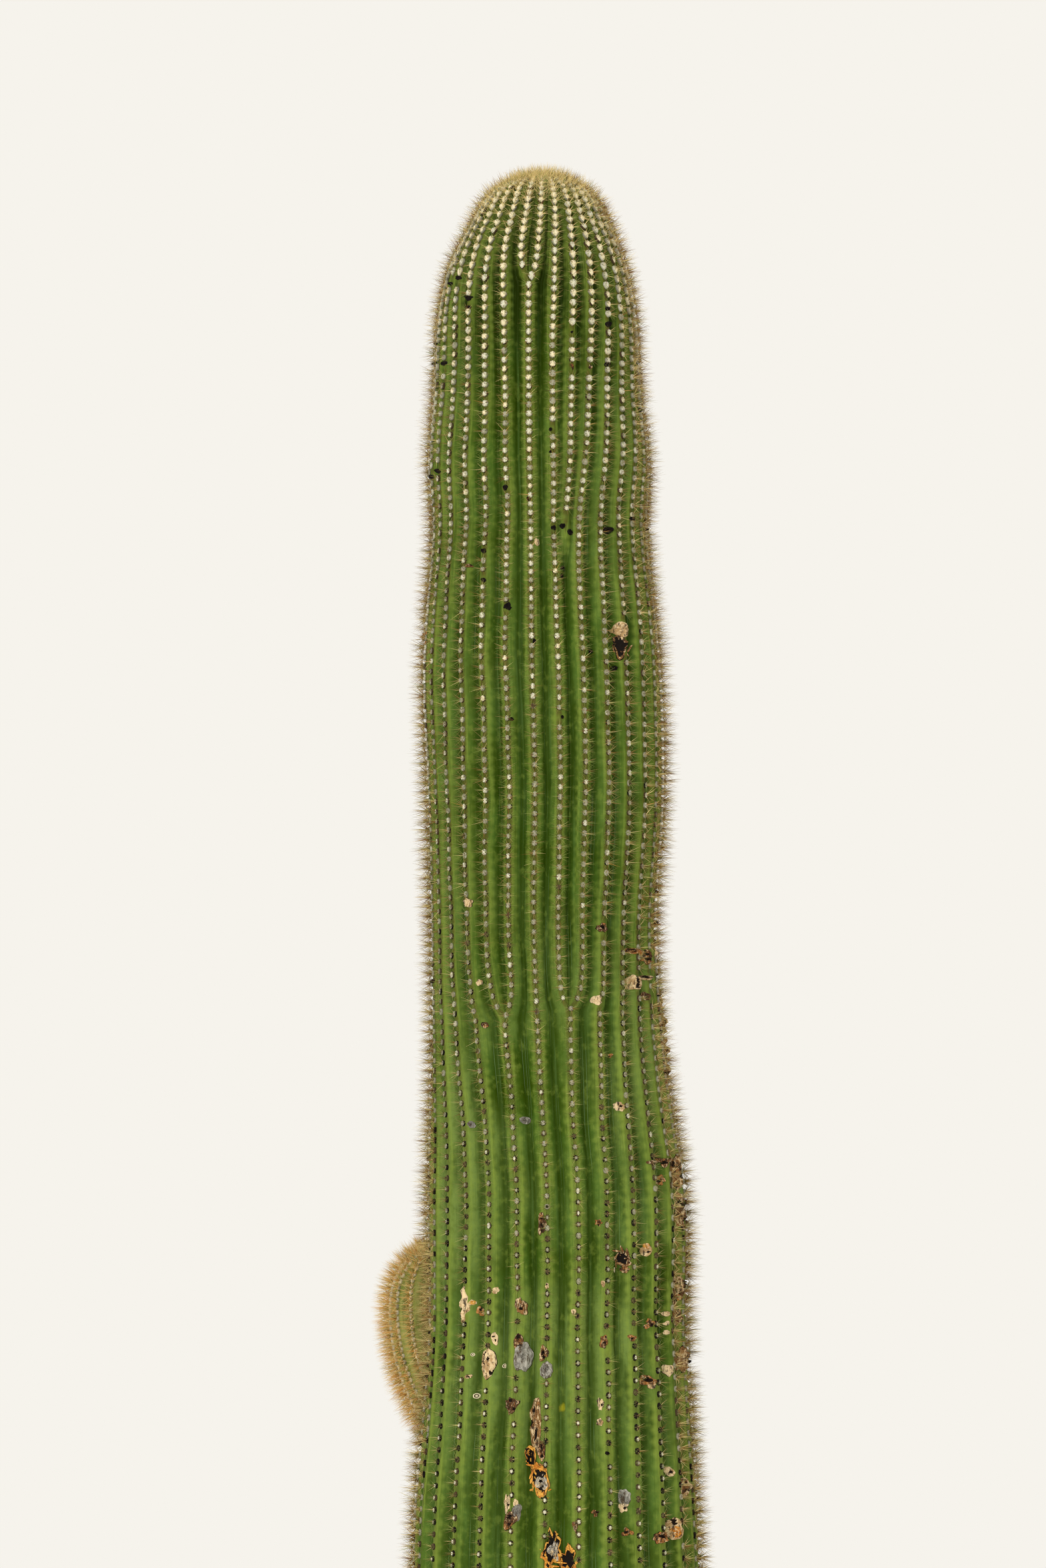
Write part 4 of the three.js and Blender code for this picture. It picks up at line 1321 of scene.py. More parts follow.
# Thickness of the centrals and of the radials against the setting, on the sides and at the crown
CENTRAL_THICKNESS, RADIAL_THICKNESS = (0.54, 0.64), (0.44, 0.52)
CROWN_CHANGE = (4.2, 0.2)
# How much of it the low spines have, and where that changes
LOW_THINNER = 0.82
THINNER_CHANGE = (2.3, 0.8)
# How much their lengths vary, against the setting
SPINE_LENGTHS = (0.52, 0.84)
# Tilts off the way out, in radians, of the centrals and of the radials
CENTRAL_TILTS, RADIAL_TILTS = (0.10, 0.95), (0.85, 1.48)
# The turn from one spine of a fan to the next, in radians, and how strongly it is drawn to the sides
GOLDEN_ANGLE = 2.39996
DRAWN_SIDEWAYS = 0.38
# How far out on a pad the centrals' and the radials' roots stand, and how high, as shares of the pad
ROOT_REACHES, ROOT_RISE = (0.30, 0.50), 0.64


def spine_fans(each, centrals, rng, spots):
    """Roots and directions of a fan of spines on each areole, and which areole each spine belongs to.

    A share of them are centrals, which lean out. The rest are radials, which start further from the pad's
    middle and lie over its rim. They go round by the golden angle, and then each is turned back by
    DRAWN_SIDEWAYS * sin(2 turn), so that most of them point sideways.
    """
    owner = np.repeat(np.arange(len(each)), each)
    first = np.cumsum(each) - each
    number = np.arange(len(owner)) - first[owner]
    central = number < np.round(each * centrals)[owner]
    tilts = [rng.uniform(low, high, len(owner)) for low, high in (CENTRAL_TILTS, RADIAL_TILTS)]
    tilt = np.where(central, *tilts)[:, None]
    turn = number * GOLDEN_ANGLE + rng.uniform(-0.5, 0.5, len(owner)) + (owner * 1.7) % TURN
    turn = turn - DRAWN_SIDEWAYS * np.sin(2 * turn)
    own = Spots(*(part[owner] for part in spots))
    across, along = np.cos(turn)[:, None] * own.side, np.sin(turn)[:, None] * own.up
    reach = np.where(central, *ROOT_REACHES)[:, None] / 2
    margin = across * own.widths[:, None] + along * own.heights[:, None]
    roots = own.places + reach * margin + ROOT_RISE * own.rise[:, None] * own.out
    return owner, central, roots, unit(np.cos(tilt) * own.out + np.sin(tilt) * (across + along))


def add_spines(name, roots, directions, lengths, thickness, paints, tints):
    """Needles joined as one piece, each in its own tint."""
    points, faces = needles(roots, directions, lengths, thickness)
    tints = np.repeat(tints, len(faces) // len(roots))
    piece = add_piece(name, points, [faces], paints, tints=tints)
    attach(piece, "root")
    return piece


class TrunkSpines(bpy.types.Operator):
    """The fans of spines on the trunk's areoles, in pieces by height"""

    bl_idname = "mesh.saguaro_trunk_spines"
    bl_label = "Trunk spines"

    def execute(self, context):
        sizes = context.scene.saguaro_sizes
        paints = plain_paints("spine_", SPINES, context.scene.saguaro_colours, 0.6)
        rng = np.random.default_rng(31)
        gap, z = trunk_areoles()
        fringe = fringe_share(gap, z)
        low_fringe = fringe * ease((LOW_FRINGE_TOP - z) / LOW_FRINGE_FADE)
        more, longer, thicker = (
            1 + gain * fringe + low_gain * low_fringe
            for gain, low_gain in zip(FRINGE_GAINS, LOW_FRINGE_GAINS)
        )
        number = np.interp(z, SPINE_NUMBERS[:, 0], SPINE_NUMBERS[:, 1]) * sizes.spines_each * more
        each = np.round(number * rng.uniform(0.85, 1.15, len(z))).astype(int)
        share, long, short = (np.interp(z, CENTRALS[:, 0], CENTRALS[:, i]) for i in (1, 2, 3))
        owner, central, roots, directions = spine_fans(
            each, share + FRINGE_CENTRALS * fringe, rng, trunk_spots(gap, z)
        )
        count, z = len(owner), z[owner]
        usual = np.where(central, long[owner], short[owner])
        lengths = sizes.spine_length * rng.uniform(*SPINE_LENGTHS, count) * usual * longer[owner]
        tints = np.where(central, deal(CENTRAL_SHARES, z, rng), deal(RADIAL_SHARES, z, rng))
        # Partly painted backlight: spines on the outline ribs take the fringe's straw, tan and rust tints for
        # their glow against the sky
        backlit_beige = rng.uniform(0, 1, count) < BACKLIT_SHARE * np.minimum(BACKLIT_GAIN * fringe[owner], 1)
        tints = np.where(backlit_beige, rng.choice(len(BACKLIT_FRINGE_TINTS), count, p=BACKLIT_FRINGE_TINTS), tints)
        crown = risen(z, *CROWN_CHANGE)
        usual = np.where(central, lerp(*CENTRAL_THICKNESS, crown), lerp(*RADIAL_THICKNESS, crown))
        thinner = lerp(LOW_THINNER, 1, risen(z, *THINNER_CHANGE))
        thickness = sizes.spine_thickness * usual * thicker[owner] * thinner
        for name, here in bands(z):
            add_spines(
                "spines_" + name, roots[here], directions[here], lengths[here], thickness[here], paints,
                tints[here],
            )
        return {"FINISHED"}


# The cushions of young spines: how many, how far they reach over the tip, and how often each tint shows
CROWN_SPINES = 4200
CROWN_REACH = 0.165
CROWN_TINTS = {"straw": 0.88, "pale": 0.02, "tan": 0.10}
# Their lean, their lengths and thickness against the setting, and the share of the length left at the edge
CROWN_LEAN = 0.34
CROWN_LENGTHS = (0.34, 0.98)
CROWN_THICKNESS = 0.75
CROWN_EDGE_LENGTH = 0.55
ARM_TIP_SPINES = 700
ARM_TIP_REACH = 0.07
ARM_TIP_TINTS = (0.45, 0.10, 0.10, 0, 0.35, 0)
ARM_TIP_LEAN = 0.3
ARM_TIP_LENGTHS = (0.6, 0.95)
# How deep their roots stand in the skin
ROOT_DEPTH = 0.001


class CrownSpines(bpy.types.Operator):
    """The dense straw-coloured cushion of young spines on the trunk's tip"""

    bl_idname = "mesh.saguaro_crown_spines"
    bl_label = "Crown spines"

    def execute(self, context):
        sizes = context.scene.saguaro_sizes
        rng = np.random.default_rng(41)
        paints = plain_paints("crown_", CROWN_TINTS, context.scene.saguaro_colours, 0.6)
        run = CROWN_REACH * rng.uniform(0, 1, CROWN_SPINES) ** 0.8
        z = np.interp(run, MERIDIAN_RUN, MERIDIAN_Z)
        angle = rng.uniform(0, TURN, CROWN_SPINES)
        out = trunk_normal(angle, z)
        roots = trunk_point(*gap_at(angle, z), z) - ROOT_DEPTH * out
        directions = unit(out + rng.normal(0, CROWN_LEAN, (CROWN_SPINES, 3)))
        grown = lerp(*CROWN_LENGTHS, rng.uniform(0, 1, CROWN_SPINES) ** 1.6)
        lengths = sizes.spine_length * grown * lerp(1, CROWN_EDGE_LENGTH, run / CROWN_REACH)
        thickness = np.full(CROWN_SPINES, CROWN_THICKNESS * sizes.spine_thickness)
        tints = rng.choice(len(CROWN_TINTS), CROWN_SPINES, p=tuple(CROWN_TINTS.values()))
        piece = add_spines("crown_spines", roots, directions, lengths, thickness, paints, tints)
        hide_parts("trunk_crown_spines")
        return {"FINISHED"}


# The arm's areoles: the most they are wide, their height and rise, and the height their spines spread over
ARM_PAD_WIDTH, ARM_PAD_HEIGHT, ARM_PAD_RISE = 0.0092, 0.0115, 0.0050
ARM_FAN_HEIGHT = 0.0100
# How far they lean, in radians, how far along the arm the lowest stands, and more of them than a rib has
ARM_LEAN = 0.25
ARM_LOWEST = 0.08
MOST_ARM_AREOLES = 60
# Spines on one against the setting, and the share of centrals, on the near side of the arm and round it
ARM_NUMBERS, ARM_CENTRALS = (1.25, 1.95), (0.40, 0.60)
ARM_SPINE_LENGTHS = (0.60, 0.98)
# Length and thickness of the centrals and of the radials, against the setting
ARM_FAN_LENGTHS, ARM_FAN_THICKNESS = (1.06, 0.56), (0.72, 0.46)
# How often each felt shows on their caps and rings, and each tint of spine low and high on the arm
ARM_CAPS = (0.75, 0.25, 0, 0, 0)
ARM_RINGS = (0.40, 0.44, 0.16, 0, 0)
ARM_LOW_TINTS = (0.22, 0.04, 0.08, 0.16, 0.50, 0)
ARM_HIGH_TINTS = (0.46, 0.08, 0.06, 0.02, 0.38, 0)


def arm_spots():
    """The arm's areoles, and how far along the arm each stands."""
    number, rib = np.meshgrid(np.arange(1, MOST_ARM_AREOLES), np.arange(ARM_RIBS))
    along = 1 - number.ravel() * ARM_AREOLE_PITCH / ARM_LENGTH
    kept = along > ARM_LOWEST
    along, rib = along[kept], rib.ravel()[kept].astype(float)
    _, spoke, heading, out = arm_frame(rib, along)
    side = unit(np.cross(heading, spoke))
    widths = np.minimum(ARM_PAD_WIDTH, 0.8 * TURN * crest_radius(ARM_STATIONS, along) / ARM_RIBS)
    heights, rise = (np.full(len(along), size) for size in (ARM_FAN_HEIGHT, ARM_PAD_RISE))
    return Spots(arm_point(rib, along), out, side, np.cross(out, side), widths, heights, rise), along


class ArmSpines(bpy.types.Operator):
    """The arm's woolly areoles, their golden spines, and the cushion on its tip"""

    bl_idname = "mesh.saguaro_arm_spines"
    bl_label = "Arm areoles and spines"

    def execute(self, context):
        sizes, colours = context.scene.saguaro_sizes, context.scene.saguaro_colours
        rng = np.random.default_rng(51)
        felts = plain_paints("arm_", FELTS, colours, 0.95)
        paints = plain_paints("arm_spine_", SPINES, colours, 0.6)
        spots, along = arm_spots()
        count = len(along)
        caps = rng.choice(len(FELTS), count, p=ARM_CAPS)
        rings = rng.choice(len(FELTS), count, p=ARM_RINGS)
        column, row = photo_pixel(spots.places)
        for x, y in ARM_DEAD:
            caps[np.argmin(np.hypot(column - x, row - y))] = FELTS.index("felt_black")
        pads = spots._replace(
            side=math.cos(ARM_LEAN) * spots.side - math.sin(ARM_LEAN) * spots.up,
            up=math.sin(ARM_LEAN) * spots.side + math.cos(ARM_LEAN) * spots.up,
            widths=spots.widths * rng.uniform(0.85, 1.1, count),
            heights=ARM_PAD_HEIGHT * rng.uniform(0.9, 1.1, count),
        )
        add_pads("arm_areoles", pads, caps, rings, felts, np.zeros(count), np.zeros(count, bool))

        aside = risen(spots.out @ (0, 1, 0), -0.80, 0.5)
        number = sizes.spines_each * rng.uniform(0.9, 1.1, count) * lerp(*ARM_NUMBERS, aside)
        owner, central, roots, directions = spine_fans(
            np.round(number).astype(int), lerp(*ARM_CENTRALS, aside), rng, spots
        )
        count = len(owner)
        usual = np.where(central, *ARM_FAN_LENGTHS)
        lengths = sizes.spine_length * rng.uniform(*ARM_SPINE_LENGTHS, count) * usual
        thickness = sizes.spine_thickness * np.where(central, *ARM_FAN_THICKNESS)
        low = rng.uniform(0.1, 0.5, count) > along[owner]
        low_tints, high_tints = (rng.choice(len(SPINES), count, p=p) for p in (ARM_LOW_TINTS, ARM_HIGH_TINTS))
        tints = np.where(low, low_tints, high_tints)
        spines = add_spines("arm_spines", roots, directions, lengths, thickness, paints, tints)

        count = ARM_TIP_SPINES
        along = 1 - ARM_TIP_REACH * rng.uniform(0, 1, count) ** 0.6
        place = rng.uniform(0, ARM_RIBS, count)
        out = arm_frame(place, along)[3]
        directions = unit(out + rng.normal(0, ARM_TIP_LEAN, (count, 3)))
        lengths = sizes.spine_length * rng.uniform(*ARM_TIP_LENGTHS, count)
        tints = rng.choice(len(SPINES), count, p=ARM_TIP_TINTS)
        tip = add_spines(
            "arm_crown_spines_dense", arm_point(place, along) - ROOT_DEPTH * out, directions, lengths,
            np.full(count, sizes.spine_thickness), paints, tints,
        )
        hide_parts("arm_crown_spines")
        return {"FINISHED"}


# Crusts: shares of the way out at which their rings lie, and points on a ring
CRUST_RINGS = np.array([1.0, 0.96, 0.88, 0.78, 0.67, 0.56, 0.45, 0.34, 0.22, 0.10])
CRUST_SECTORS = 30
CRUST_WAVES = (2, 3, 5, 8)
# The least a crust stands out of its bed, and how deep its outermost ring and its underside's middle lie
CRUST_BED = 0.0007
CRUST_EDGE = -0.0035
CRUST_DEPTH = 0.006
# Pits: the most in a crust, how far apart they stand, and their radii
MOST_PITS = 5
PIT_SPACING = 0.012
PIT_RADII = (0.0020, 0.0042)
# How deep in a pit a face is when it takes the dark paint, and how many crusts have a dark edge of painted
# shadow
PIT_SHARE = 0.42
SHADOW_EDGED = 0.6
# The bands of a ring scar that are dark, counted from its edge
EYE_BANDS = slice(4, 7)


def crust_outline(marks, rng, ragged):
    """How far each point of a crust lies across and along from its middle, in metres.

    The outline is an ellipse times 1 + ragged * four seeded waves round it, drawn in at one end.
    """
    count = len(marks)
    turn = np.arange(CRUST_SECTORS) * TURN / CRUST_SECTORS
    waves = np.zeros((count, CRUST_SECTORS))
    for number in CRUST_WAVES:
        size, phase = rng.normal(0, ragged / math.sqrt(number), count), rng.uniform(0, TURN, count)
        waves += size[:, None] * np.sin(number * turn + phase[:, None])
    ring = CRUST_RINGS[None, :, None]
    reach = ring * (1 + waves[:, None, :])
    half_width, half_height = (column[:, None, None] for column in marks.T[2:])
    drawn_in = rng.uniform(-2.4, 2.4, count)[:, None, None] * ragged
    across = half_width * reach * np.cos(turn) * (1 + drawn_in * np.sin(turn) * ring)
    return across, half_height * reach * np.sin(turn)


def crust_pits(across, along, marks, rng, wanted):
    """How deep each point of a crust lies in a pit, 0 to 1: exp(-(distance / radius)^2), the deepest pit's.

    Pits stand in a loose row up the mark, as the rib's dead areoles do. A small mark has one at most.
    """
    count = len(marks)
    number = np.clip(np.floor(marks[:, 3] * 2 / PIT_SPACING), 1, MOST_PITS)
    wanted = wanted * np.clip(marks[:, 2] / 0.007, 0.3, 1)
    depth = np.zeros(across.shape)
    for pit in range(MOST_PITS):
        sideways = rng.normal(0, 0.30, count) * marks[:, 2]
        upwards = (pit - (number - 1) / 2) * marks[:, 3] * 1.6 / number + rng.normal(0, 0.002, count)
        radius = rng.uniform(*PIT_RADII, (2, count)) * np.clip(marks[:, 2] / 0.009, 0.7, 1.6)
        there = (pit < number) & (rng.uniform(0, 1, count) < wanted)
        radius = np.where(there, radius, 1e-6)[..., None, None]
        gone = ((across - sideways[:, None, None]) / radius[0]) ** 2
        depth = np.maximum(depth, np.exp(-gone - ((along - upwards[:, None, None]) / radius[1]) ** 2))
    return depth


def crust_tints(pit, low, shadow_edged, hollow, eyed):
    """Which faces take the dark paint: pits, hollows and some edges, painted as the shadow under the crust's
    rim, or an eye's few bands.

    The faces are the bands from the edge inwards, the fan underneath, which is never dark, and the top fan.
    """
    dark = ((pit[:, :-1] + pit[:, 1:]) / 2 > PIT_SHARE) | (low & hollow)
    # Painted shadow: the outer band of some crusts is dark, for the shade under their rim
    dark[:, 0] |= shadow_edged[:, None]
    dark_top = (pit[:, -1] > PIT_SHARE) | hollow[:, 0]
    if eyed:
        dark[:], dark_top[:] = False, False
        dark[:, EYE_BANDS] = True
    return np.concatenate([dark.ravel(), np.stack([np.zeros_like(dark_top), dark_top], 1).ravel()])


def add_crusts(
    name, marks, thickness, paints, seed, dip=0.0, crumple=0.45, ragged=0.14, pits=0.0, smooth=True,
    eyed=False,
):
    """Irregular crusts on the skin, joined as one piece. The second paint is that of pits and of the painted
    shadow at some edges.

    A crust is a grid of rings and sectors over the skin. Its height is thickness * (1 - ring^4) - dip *
    (1 - ring^2)^2, plus crumple, less its pits, and never less than its bed's. The outermost ring lies under
    the skin.
    """
    rng = np.random.default_rng(seed)
    count, rings = len(marks), len(CRUST_RINGS)
    ring = CRUST_RINGS[None, :, None]
    across, along = crust_outline(marks, rng, ragged)
    angle0, z0, half_width = (column[:, None, None] for column in marks.T[:3])
    angle = angle0 + across / trunk_radius(z0)
    z = np.clip(z0 + along, 0.005, TRUNK_HEIGHT - 0.006)
    grown = np.clip(half_width / 0.010, 0.55, 1.5)
    thick, dip = thickness * grown, dip * grown
    bumps = rng.normal(0, 1, (count, rings, CRUST_SECTORS))
    bumps = (bumps + np.roll(bumps, 1, 2) + np.roll(bumps, -1, 2)) / 2
    pit = crust_pits(across, along, marks, rng, pits)
    height = thick * (1 - ring**4) * (1 + crumple * bumps) + 0.25 * thick - dip * (1 - ring**2) ** 2
    height = np.maximum(height - thick * pit, CRUST_BED)
    height[:, 0] = CRUST_EDGE

    sunk = WOUND_BED * wound_depth(angle, z)
    points = trunk_point(*gap_at(angle, z), z, height - sunk).reshape(count, -1, 3)
    middle, middle_z = marks[:, 0], marks[:, 1]
    sunk = WOUND_BED * wound_depth(middle, middle_z)
    poles = [
        trunk_point(*gap_at(middle, middle_z), middle_z, raised)[:, None]
        for raised in (-sunk - CRUST_DEPTH, height[:, -1].mean(-1) - sunk)
    ]
    points = np.concatenate([points, *poles], 1)
    size = points.shape[1]
    faces = [repeat_faces(part, size, count) for part in grid_faces(rings, CRUST_SECTORS)]
    low = (height[:, 1:] + height[:, :-1]) / 2 < CRUST_BED + 0.25 * thick
    tints = crust_tints(pit, low, rng.uniform(0, 1, count) < SHADOW_EDGED, dip > 0, eyed)
    tints = tints * (len(paints) > 1)
    piece = add_piece(name, points.reshape(-1, 3), faces, paints, tints=tints, smooth=smooth)
    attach(piece, "root")


class Scars(bpy.types.Operator):
    """The trunk's scars: cream, brown and silver crusts, split bark, amber spots, rings and black stubs"""

    bl_idname = "mesh.saguaro_scars"
    bl_label = "Scars"

    def execute(self, context):
        colours = context.scene.saguaro_colours
        thick = context.scene.saguaro_sizes.scab_thickness
        scab, pit, felt_brown = colours.scab, colours.scab_dark, colours.felt_brown
        scab_brown, felt_black, pale = colours.scab_brown, colours.felt_black, colours.silver_pale
        cream = scab_paint("scab_cream", scab, pit, colours.scab_tan, scab)
        brown = scab_paint("scab_brown", scab_brown, felt_black, colours.scab_rust, scab, 150.0)
        silver = scab_paint("scab_silver", colours.silver, felt_brown, pale, pale, 90.0)
        bark = scab_paint("bark", colours.bark, pit, scab_brown, scab, 110.0, flecked=0.49)
        amber = scab_paint("scab_amber", colours.wound_pale, scab_brown, colours.wound, scab, 140.0)
        # The dark paint of pits, and of the painted shadow round some crusts' edges
        dark = plain_paint("scab_pit", pit, 0.95)
        black = plain_paint("stub_black", felt_black, 0.9)
        ring = plain_paint("ring_cream", colours.felt_cream, 0.9)
        eye = plain_paint("ring_brown", felt_brown, 0.9)
        rough = {"ragged": 0.24, "pits": 0.9}
        round_eye = {"dip": 0.0034, "ragged": 0.05, "crumple": 0.1, "eyed": True}
        silvers = MARKS["silver_scabs"]
        rings = MARKS["rings"] * (1, 1, 0.62, 0.84)
        stubs = MARKS["stubs"] * (1, 1, 0.8, 0.9)

        add_crusts("scabs", MARKS["scabs"], thick, [cream, dark], 71, ragged=0.18, pits=0.8)
        add_crusts("brown_scabs", MARKS["brown_scabs"], thick * 1.2, [brown, dark], 72, crumple=0.9, **rough)
        add_crusts("split_bark", MARKS["split"], thick * 1.5, [bark, dark], 76, crumple=0.5, **rough)
        add_crusts("silver_scabs", silvers, thick, [silver, dark], 73, ragged=0.11, smooth=False)
        add_crusts("amber_spots", MARKS["amber_spots"], thick * 1.9, [amber], 77)
        add_crusts("ring_scars", rings, thick, [ring, eye], 74, **round_eye)
        add_crusts("black_stubs", stubs, thick * 2.2, [black], 75, crumple=0.5)
        return {"FINISHED"}


# Strips of bark: rings along one, points on a ring, thickness, and how many of them run along the rim
STRIP_STEPS = 9
STRIP_SIDES = 6
STRIP_THICKNESS = 0.0011
RIM_SHARE = 0.8
# Lengths and widths of a strip, and how far it curls, in radians. On the rim it is longer and curls less.
STRIP_LENGTHS, STRIP_WIDTHS = (0.006, 0.011), (0.0028, 0.0062)
STRIP_CURLS = (0.6, 1.8)
RIM_LENGTH, RIM_CURL = 2.3, 0.4
FRESH_STRIPS, DRY_STRIPS = 13, 6


def strips(roots, headings, out, width, curl, length):
    """Points and faces of curled strips of bark, each a flat tube along an arc that leaves the skin.

    A strip's middle line is an arc of so many radians (curl) over its length, starting along its heading and
    bending towards the way out. Its section is an ellipse of its width and thickness, narrower at both ends.
    """
    along = np.cross(out, headings)
    share = np.linspace(0, 1, STRIP_STEPS)[None, :, None]
    bend = curl[:, None, None] * share
    radius = (length / curl)[:, None, None]
    line = roots[:, None] + radius * (np.sin(bend) * headings[:, None] + (1 - np.cos(bend)) * out[:, None])
    normal = np.cos(bend) * out[:, None] - np.sin(bend) * headings[:, None]
    taper = (np.sin(math.pi * np.clip(share * 0.86 + 0.10, 0, 1)) ** 0.6)[..., None]
    turn = (np.arange(STRIP_SIDES) * TURN / STRIP_SIDES)[None, None, :, None]
    wide = width[:, None, None, None] / 2 * taper * np.cos(turn) * along[:, None, None]
    thick = STRIP_THICKNESS / 2 * taper * np.sin(turn) * normal[:, :, None]
    rings = line[:, :, None] + wide + thick
    points = np.concatenate([rings.reshape(len(roots), -1, 3), line[:, :1], line[:, -1:]], 1)
    size = points.shape[1]
    faces = [repeat_faces(part, size, len(roots)) for part in grid_faces(STRIP_STEPS, STRIP_SIDES)]
    return points.reshape(-1, 3), faces


def add_strips(name, marks, each, paint, rng):
    """So many strips round each mark, joined as one piece. Most lie along the rim, the others point out."""
    owner = np.repeat(np.arange(len(marks)), each)
    count = len(owner)
    angle0, z0, half_width, half_height = marks[owner].T
    turn, reach = rng.uniform(0, TURN, count), rng.uniform(0.75, 1.1, count)
    angle = angle0 + reach * half_width * np.cos(turn) / trunk_radius(z0)
    z = z0 + reach * half_height * np.sin(turn)
    roots = trunk_point(*gap_at(angle, z), z, 0.001 - wound_depth(angle, z))
    on_rim = rng.uniform(0, 1, count) < RIM_SHARE
    lean = turn + rng.normal(0, 0.35, count) + np.where(on_rim, math.pi / 2, 0)
    curl = rng.uniform(*STRIP_CURLS, count) * np.where(on_rim, RIM_CURL, 1)
    length = rng.uniform(*STRIP_LENGTHS, count) * np.where(on_rim, RIM_LENGTH, 1)
    headings = np.cos(lean)[:, None] * trunk_side(angle) + np.sin(lean)[:, None] * UP
    width = rng.uniform(*STRIP_WIDTHS, count)
    points, faces = strips(roots, headings, trunk_normal(angle, z), width, curl, length)
    piece = add_piece(name, points, faces, [paint], smooth=True)
    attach(piece, "root")


class Wounds(bpy.types.Operator):
    """The open wounds: a dark bed in each, and the curled strips of dried skin round it"""

    bl_idname = "mesh.saguaro_wounds"
    bl_label = "Wounds"

    def execute(self, context):
        colours = context.scene.saguaro_colours
        scab, dark, pale = colours.scab, colours.scab_dark, colours.wound_pale
        bed = plain_paint("wound_bed", colours.felt_black, 0.95)
        core = scab_paint("wound_core", colours.silver_pale, dark, scab, colours.silver, 150.0)
        rim = scab_paint("wound_rim", pale, colours.scab_brown, colours.wound, pale, 110.0)
        brown = scab_paint("wound_brown", colours.bark, dark, colours.scab_brown, scab, 150.0)
        fresh, old = MARKS["wounds"][:FRESH_WOUNDS], MARKS["wounds"][FRESH_WOUNDS:]
        opened = {"crumple": 0.55, "ragged": 0.28}
        wider = (1, 1, 1.15, 1.1)
        cores = fresh[1:3] * (1, 1, 0.64, 0.62) + (0.012, -0.005, 0, 0)
        add_crusts("fresh_wounds", fresh * wider, 0.0050, [rim, bed], 81, dip=0.014, **opened)
        add_crusts("old_wounds", old * wider, 0.0040, [brown, bed], 83, dip=0.011, **opened)
        add_crusts("wound_cores", cores, 0.006, [core, bed], 84, ragged=0.3, pits=0.8)
        rng = np.random.default_rng(82)
        torn = np.concatenate([old, MARKS["split"][:TORN_SPLITS]])
        add_strips("fresh_strips", fresh, FRESH_STRIPS, rim, rng)
        add_strips("dry_strips", torn, DRY_STRIPS, brown, rng)
        return {"FINISHED"}


# Stage: the floor's radius and sides, and each lamp's place, size and power
FLOOR_RADIUS = 20.0
FLOOR_SIDES = 96
LAMPS = {"key": ((-3.4, -9.0, 4.4), 4.0, 465), "fill": ((4.0, -8.0, 2.6), 5.0, 60)}
LAMP_TARGET = np.array([0, 0, 2.8])
BACKDROP, FLOOR = 0xF6F3EC, 0xE9E6E0


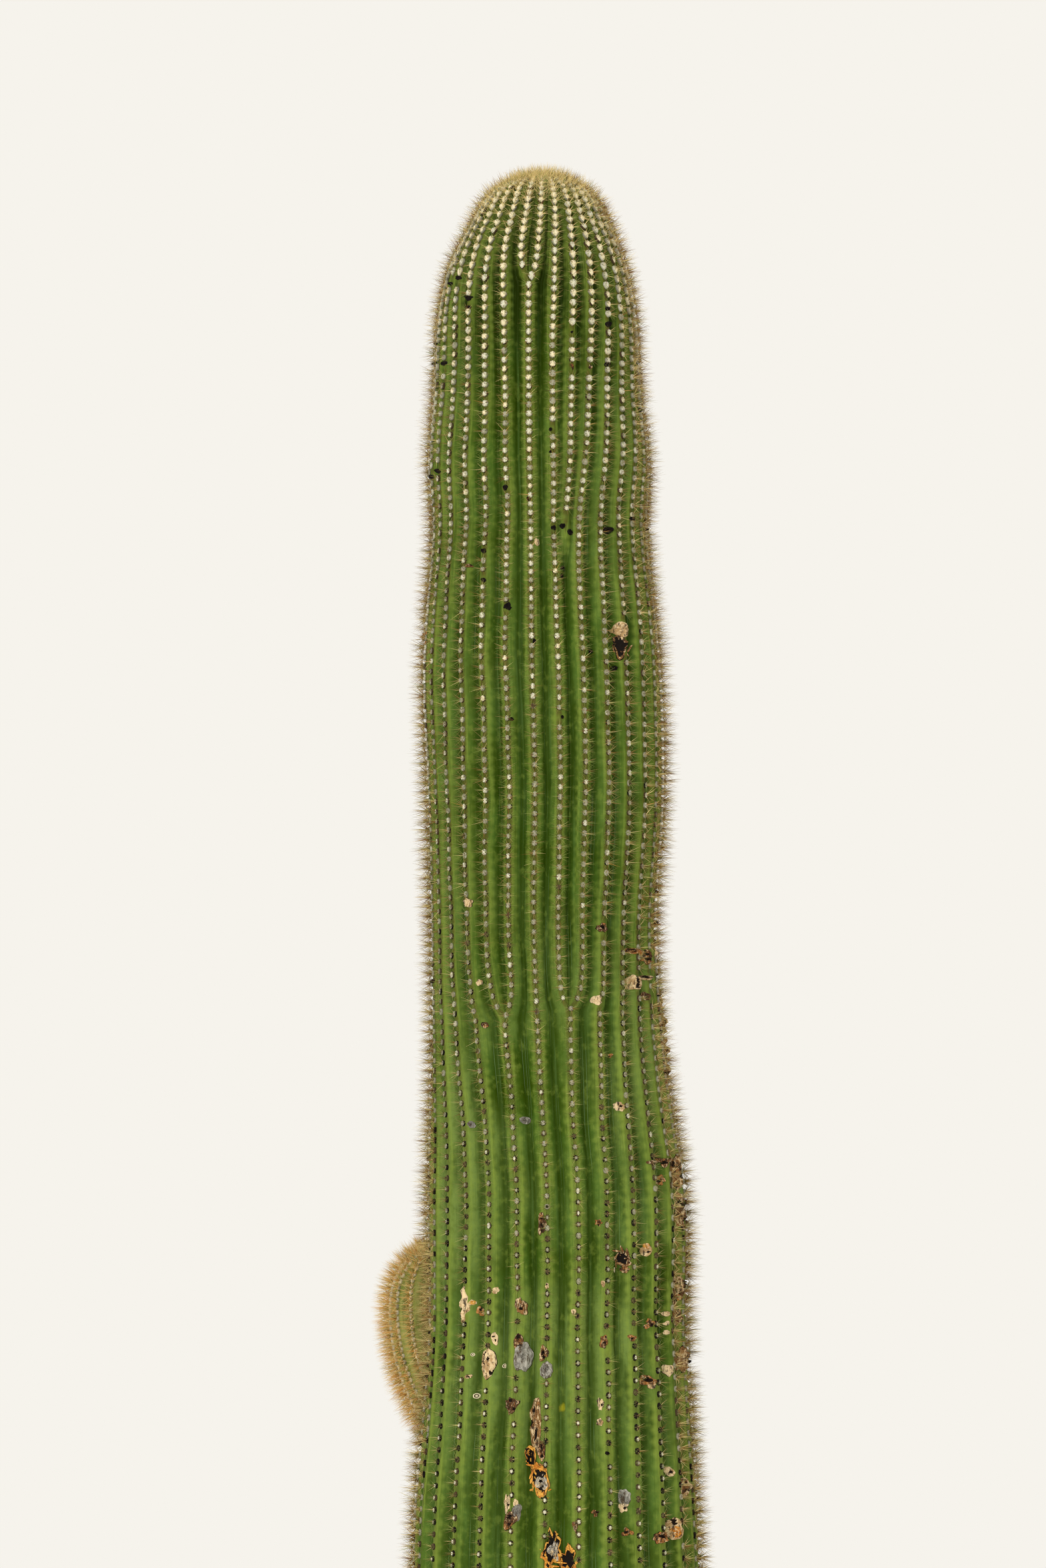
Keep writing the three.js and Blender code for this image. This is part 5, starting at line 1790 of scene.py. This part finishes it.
class Stage(bpy.types.Operator):
    """The pale floor, the soft light and the camera"""

    bl_idname = "mesh.saguaro_stage"
    bl_label = "Stage"

    def execute(self, context):
        scene = context.scene
        paint = Paint("floor").finish(Base_Color=from_hex(FLOOR), Roughness=0.9)
        here = np.arange(FLOOR_SIDES)
        angle = here * TURN / FLOOR_SIDES
        rim = FLOOR_RADIUS * np.stack([np.cos(angle), np.sin(angle), 0 * angle], -1)
        faces = np.stack([here, (here + 1) % FLOOR_SIDES, np.full(FLOOR_SIDES, FLOOR_SIDES)], -1)
        floor = add_piece("floor", np.concatenate([rim, [(0, 0, 0)]]), [faces], [paint])

        world = bpy.data.worlds.new("studio")
        world.use_nodes = True
        background = world.node_tree.nodes["Background"]
        background.inputs["Color"].default_value = (*from_hex(BACKDROP), 1)
        background.inputs["Strength"].default_value = 1.0
        scene.world = world
        scene.view_settings.view_transform = "Standard"
        for name, (place, size, power) in LAMPS.items():
            light = bpy.data.lights.new(name, "AREA")
            light.size = size
            light.energy = power
            lamp = bpy.data.objects.new(name, light)
            scene.collection.objects.link(lamp)
            lamp.location = place
            right, ahead, up = LAMP_TARGET - place
            lamp.rotation_euler = (math.atan2(math.hypot(right, ahead), -up), 0, math.atan2(-right, ahead))
        camera = bpy.data.cameras.new("camera")
        camera.lens = LENS_MM
        camera.sensor_width = SENSOR_MM
        camera.clip_end = 200
        holder = bpy.data.objects.new("camera", camera)
        scene.collection.objects.link(holder)
        holder.location = CAMERA_PLACE
        holder.rotation_euler = (math.pi / 2 + CAMERA_TILT, 0, 0)
        scene.camera = holder
        return {"FINISHED"}


class SaguaroPanel(bpy.types.Panel):
    """Lists the pieces and what can be changed about them"""

    bl_idname = "VIEW3D_PT_saguaro"
    bl_label = "Saguaro"
    bl_space_type = "VIEW_3D"
    bl_region_type = "UI"
    bl_category = "Saguaro"

    def draw(self, context):
        for operator in OPERATORS:
            self.layout.operator(operator.bl_idname)
        for group in (context.scene.saguaro_sizes, context.scene.saguaro_colours):
            for key in group.bl_rna.properties.keys():
                if key not in ("rna_type", "name"):
                    self.layout.prop(group, key)


OPERATORS = (
    Stage, TrunkSkin, TrunkAreoles, TrunkSpines, CrownSpines, ArmSkin, ArmSpines, Scars, Wounds,
)
CLASSES = (SaguaroColours, SaguaroSizes, *OPERATORS, SaguaroPanel)


def register():
    for item in CLASSES:
        bpy.utils.register_class(item)
    bpy.types.Scene.saguaro_sizes = bpy.props.PointerProperty(type=SaguaroSizes)
    bpy.types.Scene.saguaro_colours = bpy.props.PointerProperty(type=SaguaroColours)


def unregister():
    del bpy.types.Scene.saguaro_colours
    del bpy.types.Scene.saguaro_sizes
    for item in reversed(CLASSES):
        bpy.utils.unregister_class(item)


def main():
    """Makes every piece in order."""
    register()
    bpy.ops.mesh.saguaro_stage()
    bpy.ops.mesh.saguaro_trunk_skin()
    bpy.ops.mesh.saguaro_trunk_areoles()
    bpy.ops.mesh.saguaro_trunk_spines()
    bpy.ops.mesh.saguaro_crown_spines()
    bpy.ops.mesh.saguaro_arm_skin()
    bpy.ops.mesh.saguaro_arm_spines()
    bpy.ops.mesh.saguaro_scars()
    bpy.ops.mesh.saguaro_wounds()


if __name__ == "__main__":
    main()
